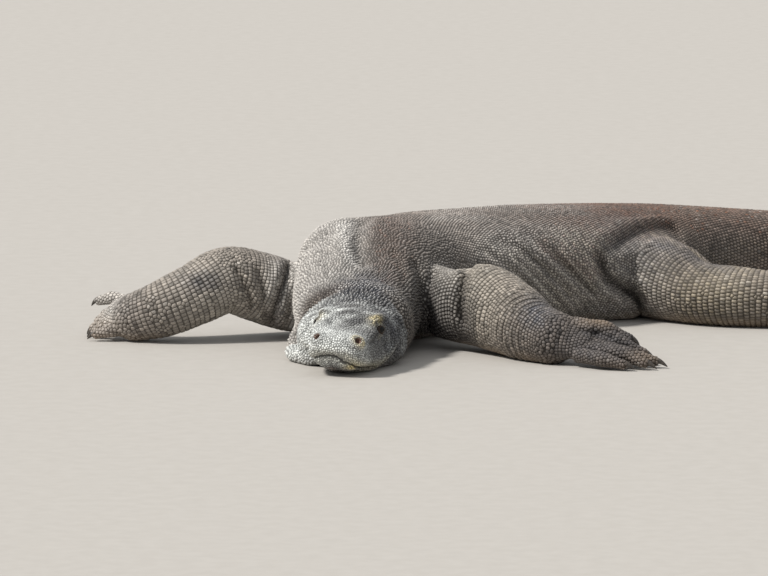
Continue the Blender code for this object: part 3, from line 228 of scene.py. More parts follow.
# each limb: x, y, z, half width, reach up and down, down to wrist or ankle
LIMB_ROWS = {
    "arm_left": [
        (0.105, 0.415, 0.078, 0.052, 0.048, 0.052),
        (0.140, 0.368, 0.076, 0.046, 0.044, 0.060),
        (0.172, 0.326, 0.073, 0.046, 0.045, 0.062),
        (0.214, 0.288, 0.070, 0.054, 0.061, 0.063),
        (0.254, 0.244, 0.058, 0.053, 0.054, 0.058),
        (0.286, 0.190, 0.046, 0.045, 0.043, 0.049),
        (0.316, 0.152, 0.039, 0.037, 0.034, 0.041),
    ],
    "arm_right": [
        (-0.030, 0.470, 0.058, 0.060, 0.048, 0.054),
        (-0.075, 0.462, 0.062, 0.056, 0.052, 0.054),
        (-0.122, 0.446, 0.076, 0.053, 0.054, 0.052),
        (-0.170, 0.427, 0.088, 0.052, 0.052, 0.048),
        (-0.218, 0.408, 0.070, 0.048, 0.047, 0.046),
        (-0.270, 0.400, 0.050, 0.043, 0.041, 0.044),
        (-0.308, 0.410, 0.038, 0.036, 0.033, 0.038),
    ],
    "leg_left": [
        (0.452, 0.806, 0.076, 0.080, 0.060, 0.078),
        (0.478, 0.735, 0.066, 0.076, 0.056, 0.068),
        (0.520, 0.664, 0.053, 0.066, 0.051, 0.057),
        (0.582, 0.606, 0.046, 0.057, 0.047, 0.050),
        (0.650, 0.582, 0.043, 0.048, 0.043, 0.046),
        (0.715, 0.586, 0.038, 0.040, 0.037, 0.041),
        (0.780, 0.606, 0.032, 0.030, 0.029, 0.033),
    ],
    "leg_right": [
        (0.455, 0.900, 0.076, 0.078, 0.060, 0.078),
        (0.392, 0.950, 0.064, 0.070, 0.054, 0.066),
        (0.328, 0.985, 0.054, 0.062, 0.050, 0.056),
        (0.272, 1.030, 0.048, 0.055, 0.047, 0.050),
        (0.262, 1.092, 0.043, 0.047, 0.043, 0.046),
        (0.290, 1.150, 0.038, 0.039, 0.036, 0.041),
        (0.335, 1.192, 0.031, 0.030, 0.028, 0.032),
    ],
}
# loose skin that lies against the ground: x, y, z, half width, reach up and down
LOOSE_ROWS = {
    "thigh_lobe": [
        (0.432, 0.690, 0.090, 0.056, 0.034, 0.050),
        (0.468, 0.690, 0.086, 0.066, 0.040, 0.056),
        (0.515, 0.680, 0.072, 0.066, 0.042, 0.056),
    ],
    "scapula_right": [
        (-0.016, 0.440, 0.116, 0.040, 0.048, 0.055),
        (-0.004, 0.470, 0.122, 0.046, 0.050, 0.055),
        (0.028, 0.520, 0.112, 0.050, 0.050, 0.055),
    ],
    "flank_lobe": [
        (0.290, 0.640, 0.050, 0.040, 0.050, 0.052),
        (0.350, 0.655, 0.046, 0.044, 0.046, 0.050),
        (0.400, 0.668, 0.034, 0.042, 0.034, 0.038),
        (0.434, 0.672, 0.024, 0.034, 0.025, 0.026),
    ],
    "jowl_right": [
        (-0.050, 0.144, 0.009, 0.010, 0.007, 0.009),
        (-0.062, 0.168, 0.010, 0.012, 0.008, 0.010),
        (-0.065, 0.196, 0.013, 0.015, 0.011, 0.013),
        (-0.056, 0.230, 0.020, 0.020, 0.018, 0.020),
    ],
    "throat": [
        (0.020, 0.080, 0.018, 0.034, 0.012, 0.020),
        (0.026, 0.140, 0.020, 0.052, 0.015, 0.022),
        (0.028, 0.200, 0.025, 0.062, 0.019, 0.027),
        (0.026, 0.270, 0.034, 0.080, 0.026, 0.036),
    ],
}
# each foot: where the palm starts and ends, its half width and thickness, and which way its back faces
FEET = {
    "arm_left": dict(start=(0.314, 0.156, 0.041), end=(0.364, 0.136, 0.036), wide=0.036, thick=0.0185, faces=(0, -0.62, 0.78)),
    "arm_right": dict(start=(-0.304, 0.407, 0.039), end=(-0.340, 0.440, 0.036), wide=0.035, thick=0.0185, faces=(-0.30, -0.55, 0.78)),
    "leg_left": dict(start=(0.776, 0.603, 0.032), end=(0.842, 0.560, 0.023), wide=0.036, thick=0.0195, faces=(0.05, -0.05, 1.0)),
    "leg_right": dict(start=(0.332, 1.190, 0.031), end=(0.318, 1.262, 0.023), wide=0.036, thick=0.0195, faces=(0.0, 0.05, 1.0)),
}
# digits as places along each: x, y, z of root, knuckle, tip, then radius at root and tip; first to fifth
DIGIT_ROWS = {
    "arm_left": [
        [(0.352, 0.112, 0.018), (0.386, 0.082, 0.015), (0.418, 0.068, 0.009), 0.0120, 0.0078],
        [(0.362, 0.122, 0.026), (0.408, 0.094, 0.021), (0.448, 0.078, 0.010), 0.0120, 0.0080],
        [(0.366, 0.134, 0.030), (0.420, 0.112, 0.020), (0.464, 0.098, 0.010), 0.0120, 0.0080],
        [(0.362, 0.146, 0.040), (0.408, 0.136, 0.0345), (0.450, 0.124, 0.0165), 0.0134, 0.0088],
        [(0.350, 0.156, 0.055), (0.392, 0.153, 0.050), (0.428, 0.146, 0.036), 0.0136, 0.0088],
    ],
    "arm_right": [
        [(-0.322, 0.408, 0.020), (-0.346, 0.402, 0.016), (-0.368, 0.404, 0.010), 0.0115, 0.0075],
        [(-0.328, 0.420, 0.026), (-0.350, 0.424, 0.022), (-0.370, 0.434, 0.011), 0.0118, 0.0078],
        [(-0.332, 0.434, 0.034), (-0.354, 0.448, 0.027), (-0.374, 0.466, 0.011), 0.0118, 0.0078],
        [(-0.330, 0.446, 0.040), (-0.350, 0.470, 0.032), (-0.368, 0.496, 0.018), 0.0115, 0.0078],
        [(-0.322, 0.448, 0.054), (-0.344, 0.462, 0.058), (-0.366, 0.478, 0.052), 0.0112, 0.0078],
    ],
    "leg_left": [
        [(0.816, 0.560, 0.019), (0.832, 0.528, 0.016), (0.846, 0.500, 0.010), 0.0115, 0.0078],
        [(0.832, 0.552, 0.020), (0.858, 0.512, 0.017), (0.880, 0.476, 0.010), 0.0120, 0.0080],
        [(0.844, 0.560, 0.020), (0.882, 0.522, 0.018), (0.914, 0.486, 0.010), 0.0122, 0.0082],
        [(0.850, 0.570, 0.020), (0.900, 0.546, 0.018), (0.944, 0.520, 0.010), 0.0122, 0.0082],
        [(0.826, 0.592, 0.020), (0.868, 0.592, 0.017), (0.904, 0.586, 0.010), 0.0115, 0.0078],
    ],
    "leg_right": [
        [(0.304, 1.240, 0.019), (0.276, 1.260, 0.016), (0.250, 1.272, 0.010), 0.0115, 0.0078],
        [(0.304, 1.258, 0.020), (0.272, 1.290, 0.017), (0.244, 1.320, 0.010), 0.0120, 0.0080],
        [(0.316, 1.270, 0.020), (0.296, 1.318, 0.018), (0.276, 1.358, 0.010), 0.0122, 0.0082],
        [(0.328, 1.272, 0.020), (0.326, 1.326, 0.018), (0.322, 1.376, 0.010), 0.0122, 0.0082],
        [(0.342, 1.248, 0.020), (0.366, 1.282, 0.017), (0.388, 1.312, 0.010), 0.0115, 0.0078],
    ],
}


def make_tubes():
    """Every tube of flesh by the mass it belongs to, with the softness of its join to what came before it there."""
    rows = []
    for a, z, w, hu, hd, nu, nl in HEAD_ROWS:
        rows.append((*head_point(a, 0, z), w, hu, hd, nu, nl))
    groups = {
        "body": [(Tube("spine", SPINE_ROWS, 330, UP, (0.05, 0.008)), 0.0), (Tube("head", rows, 60, H_UP, (0.032, 0.05)), 0.022)],
    }
    loose = {name: Tube(name, [(*r, 2.1, 2.2) for r in rows], 40, UP, (0.03, 0.03)) for name, rows in LOOSE_ROWS.items()}
    for name in ("flank_lobe", "jowl_right", "throat", "scapula_right"):
        groups["body"].append((loose[name], 0.030))
    for name, part in LIMB_ROWS.items():
        groups[name] = [(Tube(name, [(*r, 2.05, 2.1) for r in part], 90, UP, (0.03, 0.03)), 0.0)]
        if name == "leg_left":
            groups[name].append((loose["thigh_lobe"], 0.040))
        foot = FEET[name]
        s, e = np.array(foot["start"]), np.array(foot["end"])
        rows = []
        for f, w, h in ((0.0, 0.92, 1.45), (0.5, 0.98, 1.12), (1.0, 1.0, 0.9)):
            rows.append((*(s + (e - s) * f), foot["wide"] * w, foot["thick"] * h, foot["thick"] * h, 2.2, 2.4))
        groups[name].append((Tube(name + "_palm", rows, 24, foot["faces"], (0.02, 0.012)), 0.016))
        for k, (p0, p1, p2, r0, r1) in enumerate(DIGIT_ROWS[name]):
            a, b, c = np.array(p0), np.array(p1), np.array(p2)
            rows = [
                (*a, r0 * 1.02, r0, r0, 2.1, 2.1),
                (*(a * 0.5 + b * 0.5), r0 * 0.94, r0 * 0.95, r0 * 0.92, 2.1, 2.1),
                (*b, r0 * 0.96, r0 * 1.0, r0 * 0.9, 2.1, 2.1),
                (*(b * 0.4 + c * 0.6), r1 * 1.1, r1 * 1.12, r1 * 1.0, 2.1, 2.1),
                (*c, r1, r1, r1 * 0.9, 2.1, 2.1),
            ]
            groups[name].append((Tube(f"{name}_digit_{k + 1}", rows, 40, foot["faces"], (0.008, r1 * 0.9)), 0.004))
    return groups


# soft lumps: middle, half sizes, direction of the long way, how far they raise the flesh
def bump(p, middle, sizes, along=None, turn=None):
    q = p - np.asarray(middle, float)
    if along is not None:
        a = unit(np.asarray(along, float))
        up = np.array([0.0, 0.0, 1.0]) if turn is None else unit(np.asarray(turn, float))
        b = unit(np.cross(up, a))
        c = np.cross(a, b)
        q = np.stack([q @ a, q @ b, q @ c], 1)
    r2 = ((q / np.asarray(sizes, float)) ** 2).sum(1)
    return np.where(r2 < 1, (1 - np.minimum(r2, 1)) ** 2, 0.0)


EYES = {"right": (0.098, -0.0420, 0.0635), "left": (0.098, 0.0425, 0.0635)}
EYE_WAY = (-0.60, 0.78, 0.12)             # where the left eye looks
NOSTRIL = (0.0130, 0.0275, 0.0540)       # behind the tip, to the side, up
# the mouth line: how far round the muzzle, and its height on the left and on the right side
MOUTH = [(-0.010, 0.0335), (0.004, 0.0315), (0.012, 0.0240), (0.030, 0.0175), (0.060, 0.0125), (0.100, 0.0115), (0.130, 0.0170), (0.158, 0.0340), (0.200, 0.0500)]
MOUTH_RIGHT = [(-0.010, 0.0335), (0.004, 0.0335), (0.012, 0.0312), (0.022, 0.0268), (0.040, 0.0222), (0.063, 0.0182), (0.100, 0.0155), (0.130, 0.0195), (0.158, 0.0345), (0.200, 0.0500)]
# creases of the head: places, half width, depth
CREASES = [
    ([(0.076, 0.046, 0.064), (0.056, 0.046, 0.053), (0.034, 0.043, 0.047)], 0.0040, 0.0024),
    ([(0.112, 0.054, 0.050), (0.102, 0.056, 0.040), (0.096, 0.055, 0.030)], 0.0030, 0.0022),
    ([(0.126, 0.059, 0.064), (0.121, 0.062, 0.048), (0.121, 0.063, 0.034)], 0.0032, 0.0022),
    ([(0.150, 0.073, 0.066), (0.144, 0.077, 0.046), (0.150, 0.078, 0.030)], 0.0040, 0.0036),
    ([(0.168, 0.074, 0.076), (0.172, 0.081, 0.052), (0.170, 0.081, 0.026)], 0.0045, 0.0032),
    ([(0.030, 0.010, 0.067), (0.050, 0.016, 0.069), (0.075, 0.022, 0.073)], 0.0060, 0.0014),
    ([(0.010, 0.016, 0.010), (0.030, 0.030, 0.008), (0.060, 0.040, 0.006)], 0.0035, 0.0022),
    ([(0.150, 0.030, 0.092), (0.162, 0.055, 0.086), (0.176, 0.070, 0.070)], 0.0050, 0.0020),
]


def on_line(x, table):
    t = np.asarray(table, float)
    i = np.clip(np.searchsorted(t[:, 0], x) - 1, 0, len(t) - 2)
    h = np.clip((x - t[i, 0]) / (t[i + 1, 0] - t[i, 0]), 0, 1)
    h = h * h * (3 - 2 * h) * 0.5 + h * 0.5
    return t[i, 1] + (t[i + 1, 1] - t[i, 1]) * h


def mouth_line(a, b):
    """Height of the mouth line at a place in the head; the head's right side lies a little higher on the ground."""
    u = a + 0.35 * np.abs(b)
    k = step(b, -0.012, 0.012)
    return on_line(u, MOUTH) * k + on_line(u, MOUTH_RIGHT) * (1 - k)


def bell(x, s):
    return np.exp(-((x / s) ** 2))


def head_shape(p, f):
    """Brows, eye hollows and lids, nostrils, lips, cheeks, ears and creases of the head."""
    a, b, c = to_head(p)
    near = (a > -0.03) & (a < 0.30) & (np.abs(b) < 0.12) & (c < 0.16)
    if not near.any():
        return f
    g = f[near]
    a, b, c = a[near], b[near], c[near]
    ab = np.abs(b)
    m = np.stack([a, ab, c], 1)
    # muzzle: flatter between nostrils and brows, hollow in front of the eye, full upper lip
    g = g - 0.0040 * bump(m, (0.060, 0.0430, 0.0640), (0.042, 0.012, 0.014), (0.96, 0.10, 0.26))
    g = g + 0.0030 * bump(m, (0.060, 0.0180, 0.0720), (0.032, 0.014, 0.014))
    g = g + 0.0032 * bump(m, (0.066, 0.0540, 0.0520), (0.032, 0.016, 0.012))
    g = g - 0.0025 * bump(m, (0.105, 0.0000, 0.0800), (0.040, 0.026, 0.018))
    # brow shelf over the eye, and the hollow round it
    g = g - 0.0060 * bump(m, (0.096, 0.0440, 0.0820), (0.036, 0.017, 0.014), (0.97, 0.10, 0.10))
    g = g - 0.0040 * bump(m, (0.128, 0.0500, 0.0840), (0.030, 0.022, 0.016))
    ex, ey, ez = EYES["left"]
    q = m - np.array([ex, ey, ez])
    way = unit(np.array(EYE_WAY))
    fore = unit(np.array([-way[1], way[0] * -1.0 * -1.0, 0.0]))
    over = np.cross(fore, way)
    over = over * np.sign(over[2])
    w = q @ way
    out_ = step(w, -0.004, 0.003) * step(ab, 0.028, 0.036)
    ring = np.sqrt(((q[:, 0] + 0.003) * 0.92) ** 2 + (q[:, 2] + 0.0015) ** 2)
    g = g + 0.0042 * np.exp(-((ring / 0.0150) ** 4)) * step(ab, 0.030, 0.040)
    ball = np.linalg.norm(q, axis=1) - (EYE_RADIUS + 0.0013)
    g = np.where(ab > 0.028, smooth_min(g, ball, 0.0040), g)
    tilt = math.radians(-10)
    u0, v0 = q @ fore, q @ over
    u, v = u0 * math.cos(tilt) - v0 * math.sin(tilt), u0 * math.sin(tilt) + v0 * math.cos(tilt)
    tall = np.where(b > 0, 0.0054, 0.0030)
    v = v + np.where(b > 0, 0.0006, 0.0016)
    slit = ((u - 0.0005) / 0.0088) ** 2 + (v / tall) ** 2
    g = g + 0.0062 * np.exp(-(slit**3)) * out_
    # the corner of the eye runs on towards the nostril
    g = g + 0.0030 * np.exp(-(((u - 0.0120) / 0.0060) ** 2) - ((v + 0.0010) / 0.0030) ** 2) * step(ab, 0.028, 0.036)
    rim = np.sqrt(slit)
    g = g - 0.0011 * bell((rim - 1.40) * 0.0052, 0.0014) * out_
    fold = np.sqrt((u * 0.85) ** 2 + v**2)
    g = g + 0.0018 * bell(fold - 0.0122, 0.0012) * out_ * step(v, -0.004, 0.004)
    g = g + 0.0014 * bell(fold - 0.0126, 0.0012) * out_ * step(-v, -0.001, 0.005)
    g = g + 0.0010 * bell(fold - 0.0170, 0.0012) * out_ * step(-v, -0.001, 0.005)
    g = g - 0.0018 * bell(fold - 0.0160, 0.0022) * out_ * step(-v, -0.002, 0.006)
    # nostrils: a swelling, a rim and a hole that opens forward and outward
    na, nb, nc = NOSTRIL
    g = g - 0.0060 * bump(m, (na + 0.004, nb + 0.001, nc - 0.001), (0.024, 0.017, 0.0165))
    way = unit(np.array([-0.72, 0.55, 0.42]))
    q = m - np.array([na, nb, nc])
    deep = q @ way
    off = np.sqrt(np.maximum((q**2).sum(1) - deep**2, 0))
    g = g - 0.0022 * bell(off - 0.0082, 0.0030) * step(deep, -0.012, -0.002)
    g = g + 0.0100 * np.exp(-((off / 0.0044) ** 4)) * step(deep, -0.014, -0.006)
    # mouth line: the upper lip hangs over the lower
    round_ = a + 0.35 * ab
    line = c - mouth_line(a, b)
    fade = (1 - step(round_, 0.150, 0.185)) * step(c, -0.002, 0.004)
    g = g + fade * (0.0055 * bell(line, 0.0026) - 0.0022 * bell(line - 0.0085, 0.0060) + 0.0030 * bell(line + 0.0090, 0.0075))
    g = g + 0.0055 * (1 - step(a, 0.000, 0.045)) * step(-line, 0.000, 0.012)
    # cheek and jowl, ear
    g = g - 0.0035 * bump(m, (0.160, 0.0740, 0.0400), (0.062, 0.026, 0.034))
    g = g - 0.0190 * bump(np.stack([a, b, c], 1), (0.160, -0.0740, 0.0380), (0.080, 0.038, 0.048))
    g = g + 0.0035 * bump(np.stack([a, b, c], 1), (0.170, 0.0760, 0.0480), (0.060, 0.030, 0.040))
    g = g - 0.0030 * bump(m, (0.120, 0.0640, 0.0300), (0.040, 0.020, 0.020))
    ear = np.sqrt(((a - 0.186) / 0.75) ** 2 + (c - 0.0600) ** 2)
    g = g + (0.0085 * np.exp(-((ear / 0.0062) ** 4)) - 0.0026 * bell(ear - 0.0110, 0.0040)) * step(ab, 0.045, 0.060)
    # creases
    for path, wide, deep in CREASES:
        q = np.asarray(path)
        part = np.nonzero(near_box(m, q.min(0), q.max(0), 0.02))[0]
        if len(part):
            d, t, _ = to_path(m[part], path, (0.35, 0.75, 0.55) if q[:, 2].mean() > 0.065 else (0.0, 1.0, 0.0))
            g[part] = g[part] + deep * bell(d, wide) * step(t, 0.0, 0.25) * (1 - step(t, 0.75, 1.0))
    f = f.copy()
    f[near] = g
    return f


LIMB_JOIN = {"arm_left": 0.010, "arm_right": 0.010, "leg_left": 0.008, "leg_right": 0.010}


def near_box(p, low, high, room):
    return ((p > low - room) & (p < high + room)).all(1)


def body_depth(p, groups, inset=0.0):
    """Signed depth of the whole animal at points p, drawn in by inset, and which tube is nearest."""
    f = np.full(len(p), 1.0)
    who = np.full(len(p), -1)
    best = np.full(len(p), 1.0)
    n = 0
    for name, members in groups.items():
        low = np.min([t.low for t, _ in members], 0)
        high = np.max([t.high for t, _ in members], 0)
        m = np.nonzero(near_box(p, low, high, 0.03))[0]
        g = np.full(len(m), 1.0)
        q = p[m]
        for tube, k in members:
            n += 1
            part = np.nonzero(near_box(q, tube.low, tube.high, 0.03))[0]
            if not len(part):
                continue
            d, _ = tube.depth(q[part])
            if tube.name == "head":
                d = head_shape(q[part], d)
            closer = d < best[m[part]]
            who[m[part[closer]]] = n - 1
            best[m[part]] = np.minimum(best[m[part]], d)
            g[part] = smooth_min(g[part], d, k) if k > 0 else np.minimum(g[part], d)
        if len(m):
            k = LIMB_JOIN.get(name, 0.0)
            f[m] = smooth_min(f[m], g, k) if k > 0 else np.minimum(f[m], g)
    f = extra_shape(p, f)
    f = wrinkles(p, f) + inset
    # flat underside at the ground
    low = 0.2 * inset - p[:, 2]
    h = np.clip(1 - np.abs(f - low) / GROUND_SOFT, 0, 1)
    return np.maximum(f, low) + h * h * GROUND_SOFT * 0.25, who


# folds: places along each, then how wide and how deep it is and how much the flesh swells beside it
FRONT = (0.0, -0.99, 0.12)
NAPE = (0.0, -0.40, 0.92)
FOLDS = [
    # right shoulder against the body, and the next skin strip
    ([(-0.078, 0.425, 0.125), (-0.080, 0.417, 0.103), (-0.091, 0.402, 0.071), (-0.101, 0.400, 0.040), (-0.104, 0.405, 0.012)], 0.0065, 0.0100, 0.0030, FRONT),
    ([(-0.066, 0.360, 0.125), (-0.073, 0.372, 0.090), (-0.075, 0.385, 0.055), (-0.077, 0.400, 0.014)], 0.0060, 0.0065, 0.0020, FRONT),
    # crease up the nape to the shoulders
    ([(0.034, 0.500, 0.178), (0.033, 0.455, 0.176), (0.032, 0.414, 0.167), (0.028, 0.375, 0.155), (0.032, 0.330, 0.138), (0.040, 0.272, 0.121)], 0.0135, 0.0110, 0.0015, NAPE),
    # neck folds on the inside of its bend
    ([(0.104, 0.345, 0.138), (0.116, 0.322, 0.110), (0.120, 0.300, 0.085), (0.112, 0.262, 0.060)], 0.0075, 0.0060, 0.0020, FRONT),
    ([(0.076, 0.330, 0.150), (0.094, 0.290, 0.118), (0.100, 0.262, 0.090)], 0.0065, 0.0040, 0.0020, FRONT),
    # left shoulder against the neck
    ([(0.142, 0.318, 0.126), (0.137, 0.300, 0.090), (0.136, 0.308, 0.050), (0.138, 0.330, 0.016)], 0.0080, 0.0110, 0.0020, FRONT),
    # left elbow: the valley between upper arm and forearm
    ([(0.196, 0.300, 0.138), (0.190, 0.268, 0.118), (0.184, 0.244, 0.092), (0.184, 0.238, 0.064), (0.192, 0.241, 0.036)], 0.0075, 0.0100, 0.0020, FRONT),
    # inside of the right elbow
    ([(-0.160, 0.385, 0.122), (-0.150, 0.384, 0.100), (-0.137, 0.391, 0.073), (-0.130, 0.402, 0.044)], 0.0055, 0.0055, 0.0020, FRONT),
    ([(-0.128, 0.396, 0.120), (-0.118, 0.392, 0.090), (-0.113, 0.396, 0.060), (-0.112, 0.410, 0.026)], 0.0055, 0.0050, 0.0020, FRONT),
    # left thigh against the flank, and over its top
    ([(0.390, 0.600, 0.122), (0.397, 0.595, 0.098), (0.404, 0.597, 0.078), (0.431, 0.620, 0.055), (0.458, 0.640, 0.036), (0.468, 0.650, 0.008)], 0.0088, 0.0125, 0.0040, FRONT),
    ([(0.399, 0.592, 0.090), (0.409, 0.598, 0.113), (0.431, 0.630, 0.126), (0.466, 0.675, 0.135), (0.511, 0.735, 0.130), (0.545, 0.690, 0.111), (0.564, 0.640, 0.099), (0.608, 0.600, 0.092)], 0.0110, 0.0105, 0.0040, FRONT),
    # between the upper finger and the rest of the left hand
    ([(0.346, 0.122, 0.054), (0.366, 0.120, 0.050), (0.388, 0.118, 0.045), (0.410, 0.114, 0.040)], 0.0042, 0.0045, 0.0012, FRONT),
    # finer slack skin between the broad folds of the flank
    ([(0.250, 0.500, 0.146), (0.284, 0.505, 0.120), (0.324, 0.524, 0.086), (0.362, 0.568, 0.034)], 0.0050, 0.0032, 0.0018, FRONT),
    ([(0.296, 0.535, 0.150), (0.320, 0.533, 0.118), (0.354, 0.550, 0.084), (0.398, 0.598, 0.040)], 0.0048, 0.0032, 0.0018, FRONT),
    ([(0.206, 0.462, 0.140), (0.238, 0.470, 0.118), (0.276, 0.490, 0.084), (0.312, 0.530, 0.036)], 0.0050, 0.0030, 0.0016, FRONT),
    # slack skin along the flank
    ([(0.225, 0.480, 0.150), (0.262, 0.488, 0.128), (0.306, 0.510, 0.089), (0.342, 0.550, 0.036)], 0.0120, 0.0055, 0.0030, FRONT),
    ([(0.270, 0.520, 0.158), (0.302, 0.522, 0.126), (0.342, 0.538, 0.086), (0.385, 0.585, 0.034)], 0.0110, 0.0055, 0.0030, FRONT),
    ([(0.318, 0.550, 0.144), (0.335, 0.545, 0.112), (0.364, 0.560, 0.082), (0.410, 0.610, 0.046)], 0.0090, 0.0050, 0.0020, FRONT),
]


# broad swellings and hollows: middle, half sizes, how far they lower the flesh
DENTS = [
    ((0.050, 0.330, 0.148), (0.042, 0.120, 0.055), 0.0100),
    ((0.004, 0.350, 0.160), (0.026, 0.110, 0.045), -0.0060),
]


# ripples across a limb: middle, along, half length, wave length, height
RIPPLES = [
    ((-0.298, 0.395, 0.050), (-0.95, 0.10, -0.30), 0.034, 0.0125, 0.0011),
    ((0.226, 0.262, 0.070), (0.66, -0.74, -0.10), 0.030, 0.0150, 0.0008),
    ((0.274, 0.186, 0.052), (0.66, -0.74, -0.07), 0.046, 0.0135, 0.0024),
    ((0.322, 0.142, 0.042), (0.80, -0.60, -0.07), 0.028, 0.0115, 0.0014),
    ((-0.150, 0.420, 0.090), (-0.95, -0.20, 0.10), 0.030, 0.0140, 0.0008),
    ((0.700, 0.588, 0.045), (0.98, 0.05, -0.06), 0.045, 0.0150, 0.0008),
    ((0.290, 0.500, 0.105), (0.70, 0.15, 0.70), 0.075, 0.0125, 0.0010),
    ((0.352, 0.540, 0.080), (0.70, 0.15, 0.70), 0.075, 0.0125, 0.0010),
    ((0.215, 0.470, 0.110), (0.75, 0.15, 0.60), 0.065, 0.0130, 0.0007),
    ((0.455, 0.640, 0.100), (0.80, 0.10, -0.30), 0.060, 0.0110, 0.0008),
    ((0.382, 0.140, 0.050), (0.95, -0.25, -0.10), 0.050, 0.0072, 0.0006),
]


def wrinkles(p, f):
    """Skin creased across the wrists and elbows."""
    near = np.abs(f) < 0.02
    f = f.copy()
    for middle, along, half, wave, high in RIPPLES:
        q = p - np.asarray(middle)
        m = np.nonzero(near & ((q * q).sum(1) < 0.085**2))[0]
        if not len(m):
            continue
        t = q[m] @ unit(np.asarray(along, float))
        sway = 0.0030 * np.sin(q[m] @ np.array([41.0, 67.0, 83.0]))
        fade = (1 - step(np.abs(t), half * 0.5, half)) * (1 - step(np.sqrt((q[m] ** 2).sum(1)), 0.060, 0.085))
        f[m] = f[m] + high * fade * (np.abs(np.sin((t + sway) * math.pi / wave)) ** 0.7 * -1.0 + 0.6)
    return f


def to_path(p, path, facing):
    """Distance from points to a smooth path as seen along one direction, how far along it they are, and how far before or behind."""
    line = smooth_rows(np.asarray(path, float), 20)
    n = unit(np.asarray(facing, float))
    flat = p - (p @ n)[:, None] * n
    deep = p @ n
    best = np.full(len(p), 9.0)
    at = np.zeros(len(p))
    ahead = np.zeros(len(p))
    for i in range(len(line) - 1):
        a, d = line[i], line[i + 1] - line[i]
        fa, fd = a - (a @ n) * n, d - (d @ n) * n
        t = np.clip(((flat - fa) @ fd) / (fd @ fd), 0, 1)
        r = np.linalg.norm(flat - fa - t[:, None] * fd, axis=1)
        near = r < best
        best = np.where(near, r, best)
        at = np.where(near, (i + t) / (len(line) - 1), at)
        ahead = np.where(near, deep - (a @ n) - t * (d @ n), ahead)
    return best, at, ahead


def extra_shape(p, f):
    """Folds pressed into the skin, and its broad swellings."""
    for middle, sizes, lower in DENTS:
        q = np.asarray(middle)
        m = np.nonzero(near_box(p, q - sizes, q + sizes, 0.0) & (np.abs(f) < 0.03))[0]
        if len(m):
            f = f.copy()
            f[m] = f[m] + lower * bump(p[m], middle, sizes)
    for path, wide, deep, swell, facing in FOLDS:
        q = np.asarray(path)
        m = np.nonzero(near_box(p, q.min(0), q.max(0), 0.05) & (np.abs(f) < 0.03))[0]
        if not len(m):
            continue
        d, t, ahead = to_path(p[m], path, facing)
        fade = step(t, 0.0, 0.18) * (1 - step(t, 0.82, 1.0)) * (1 - step(np.abs(ahead), 0.028, 0.045))
        f = f.copy()
        f[m] = f[m] + (deep * np.exp(-((d / wide) ** 2)) - swell * np.exp(-(((d - 2.2 * wide) / wide) ** 2))) * fade
    # groove where the jowls end and the neck begins
    a, b, c = to_head(p)
    ring = np.exp(-(((a - 0.207) / 0.011) ** 2)) * step(np.abs(b), 0.030, 0.060) * (c < 0.12) * (np.abs(b) < 0.12)
    return f + 0.0100 * ring


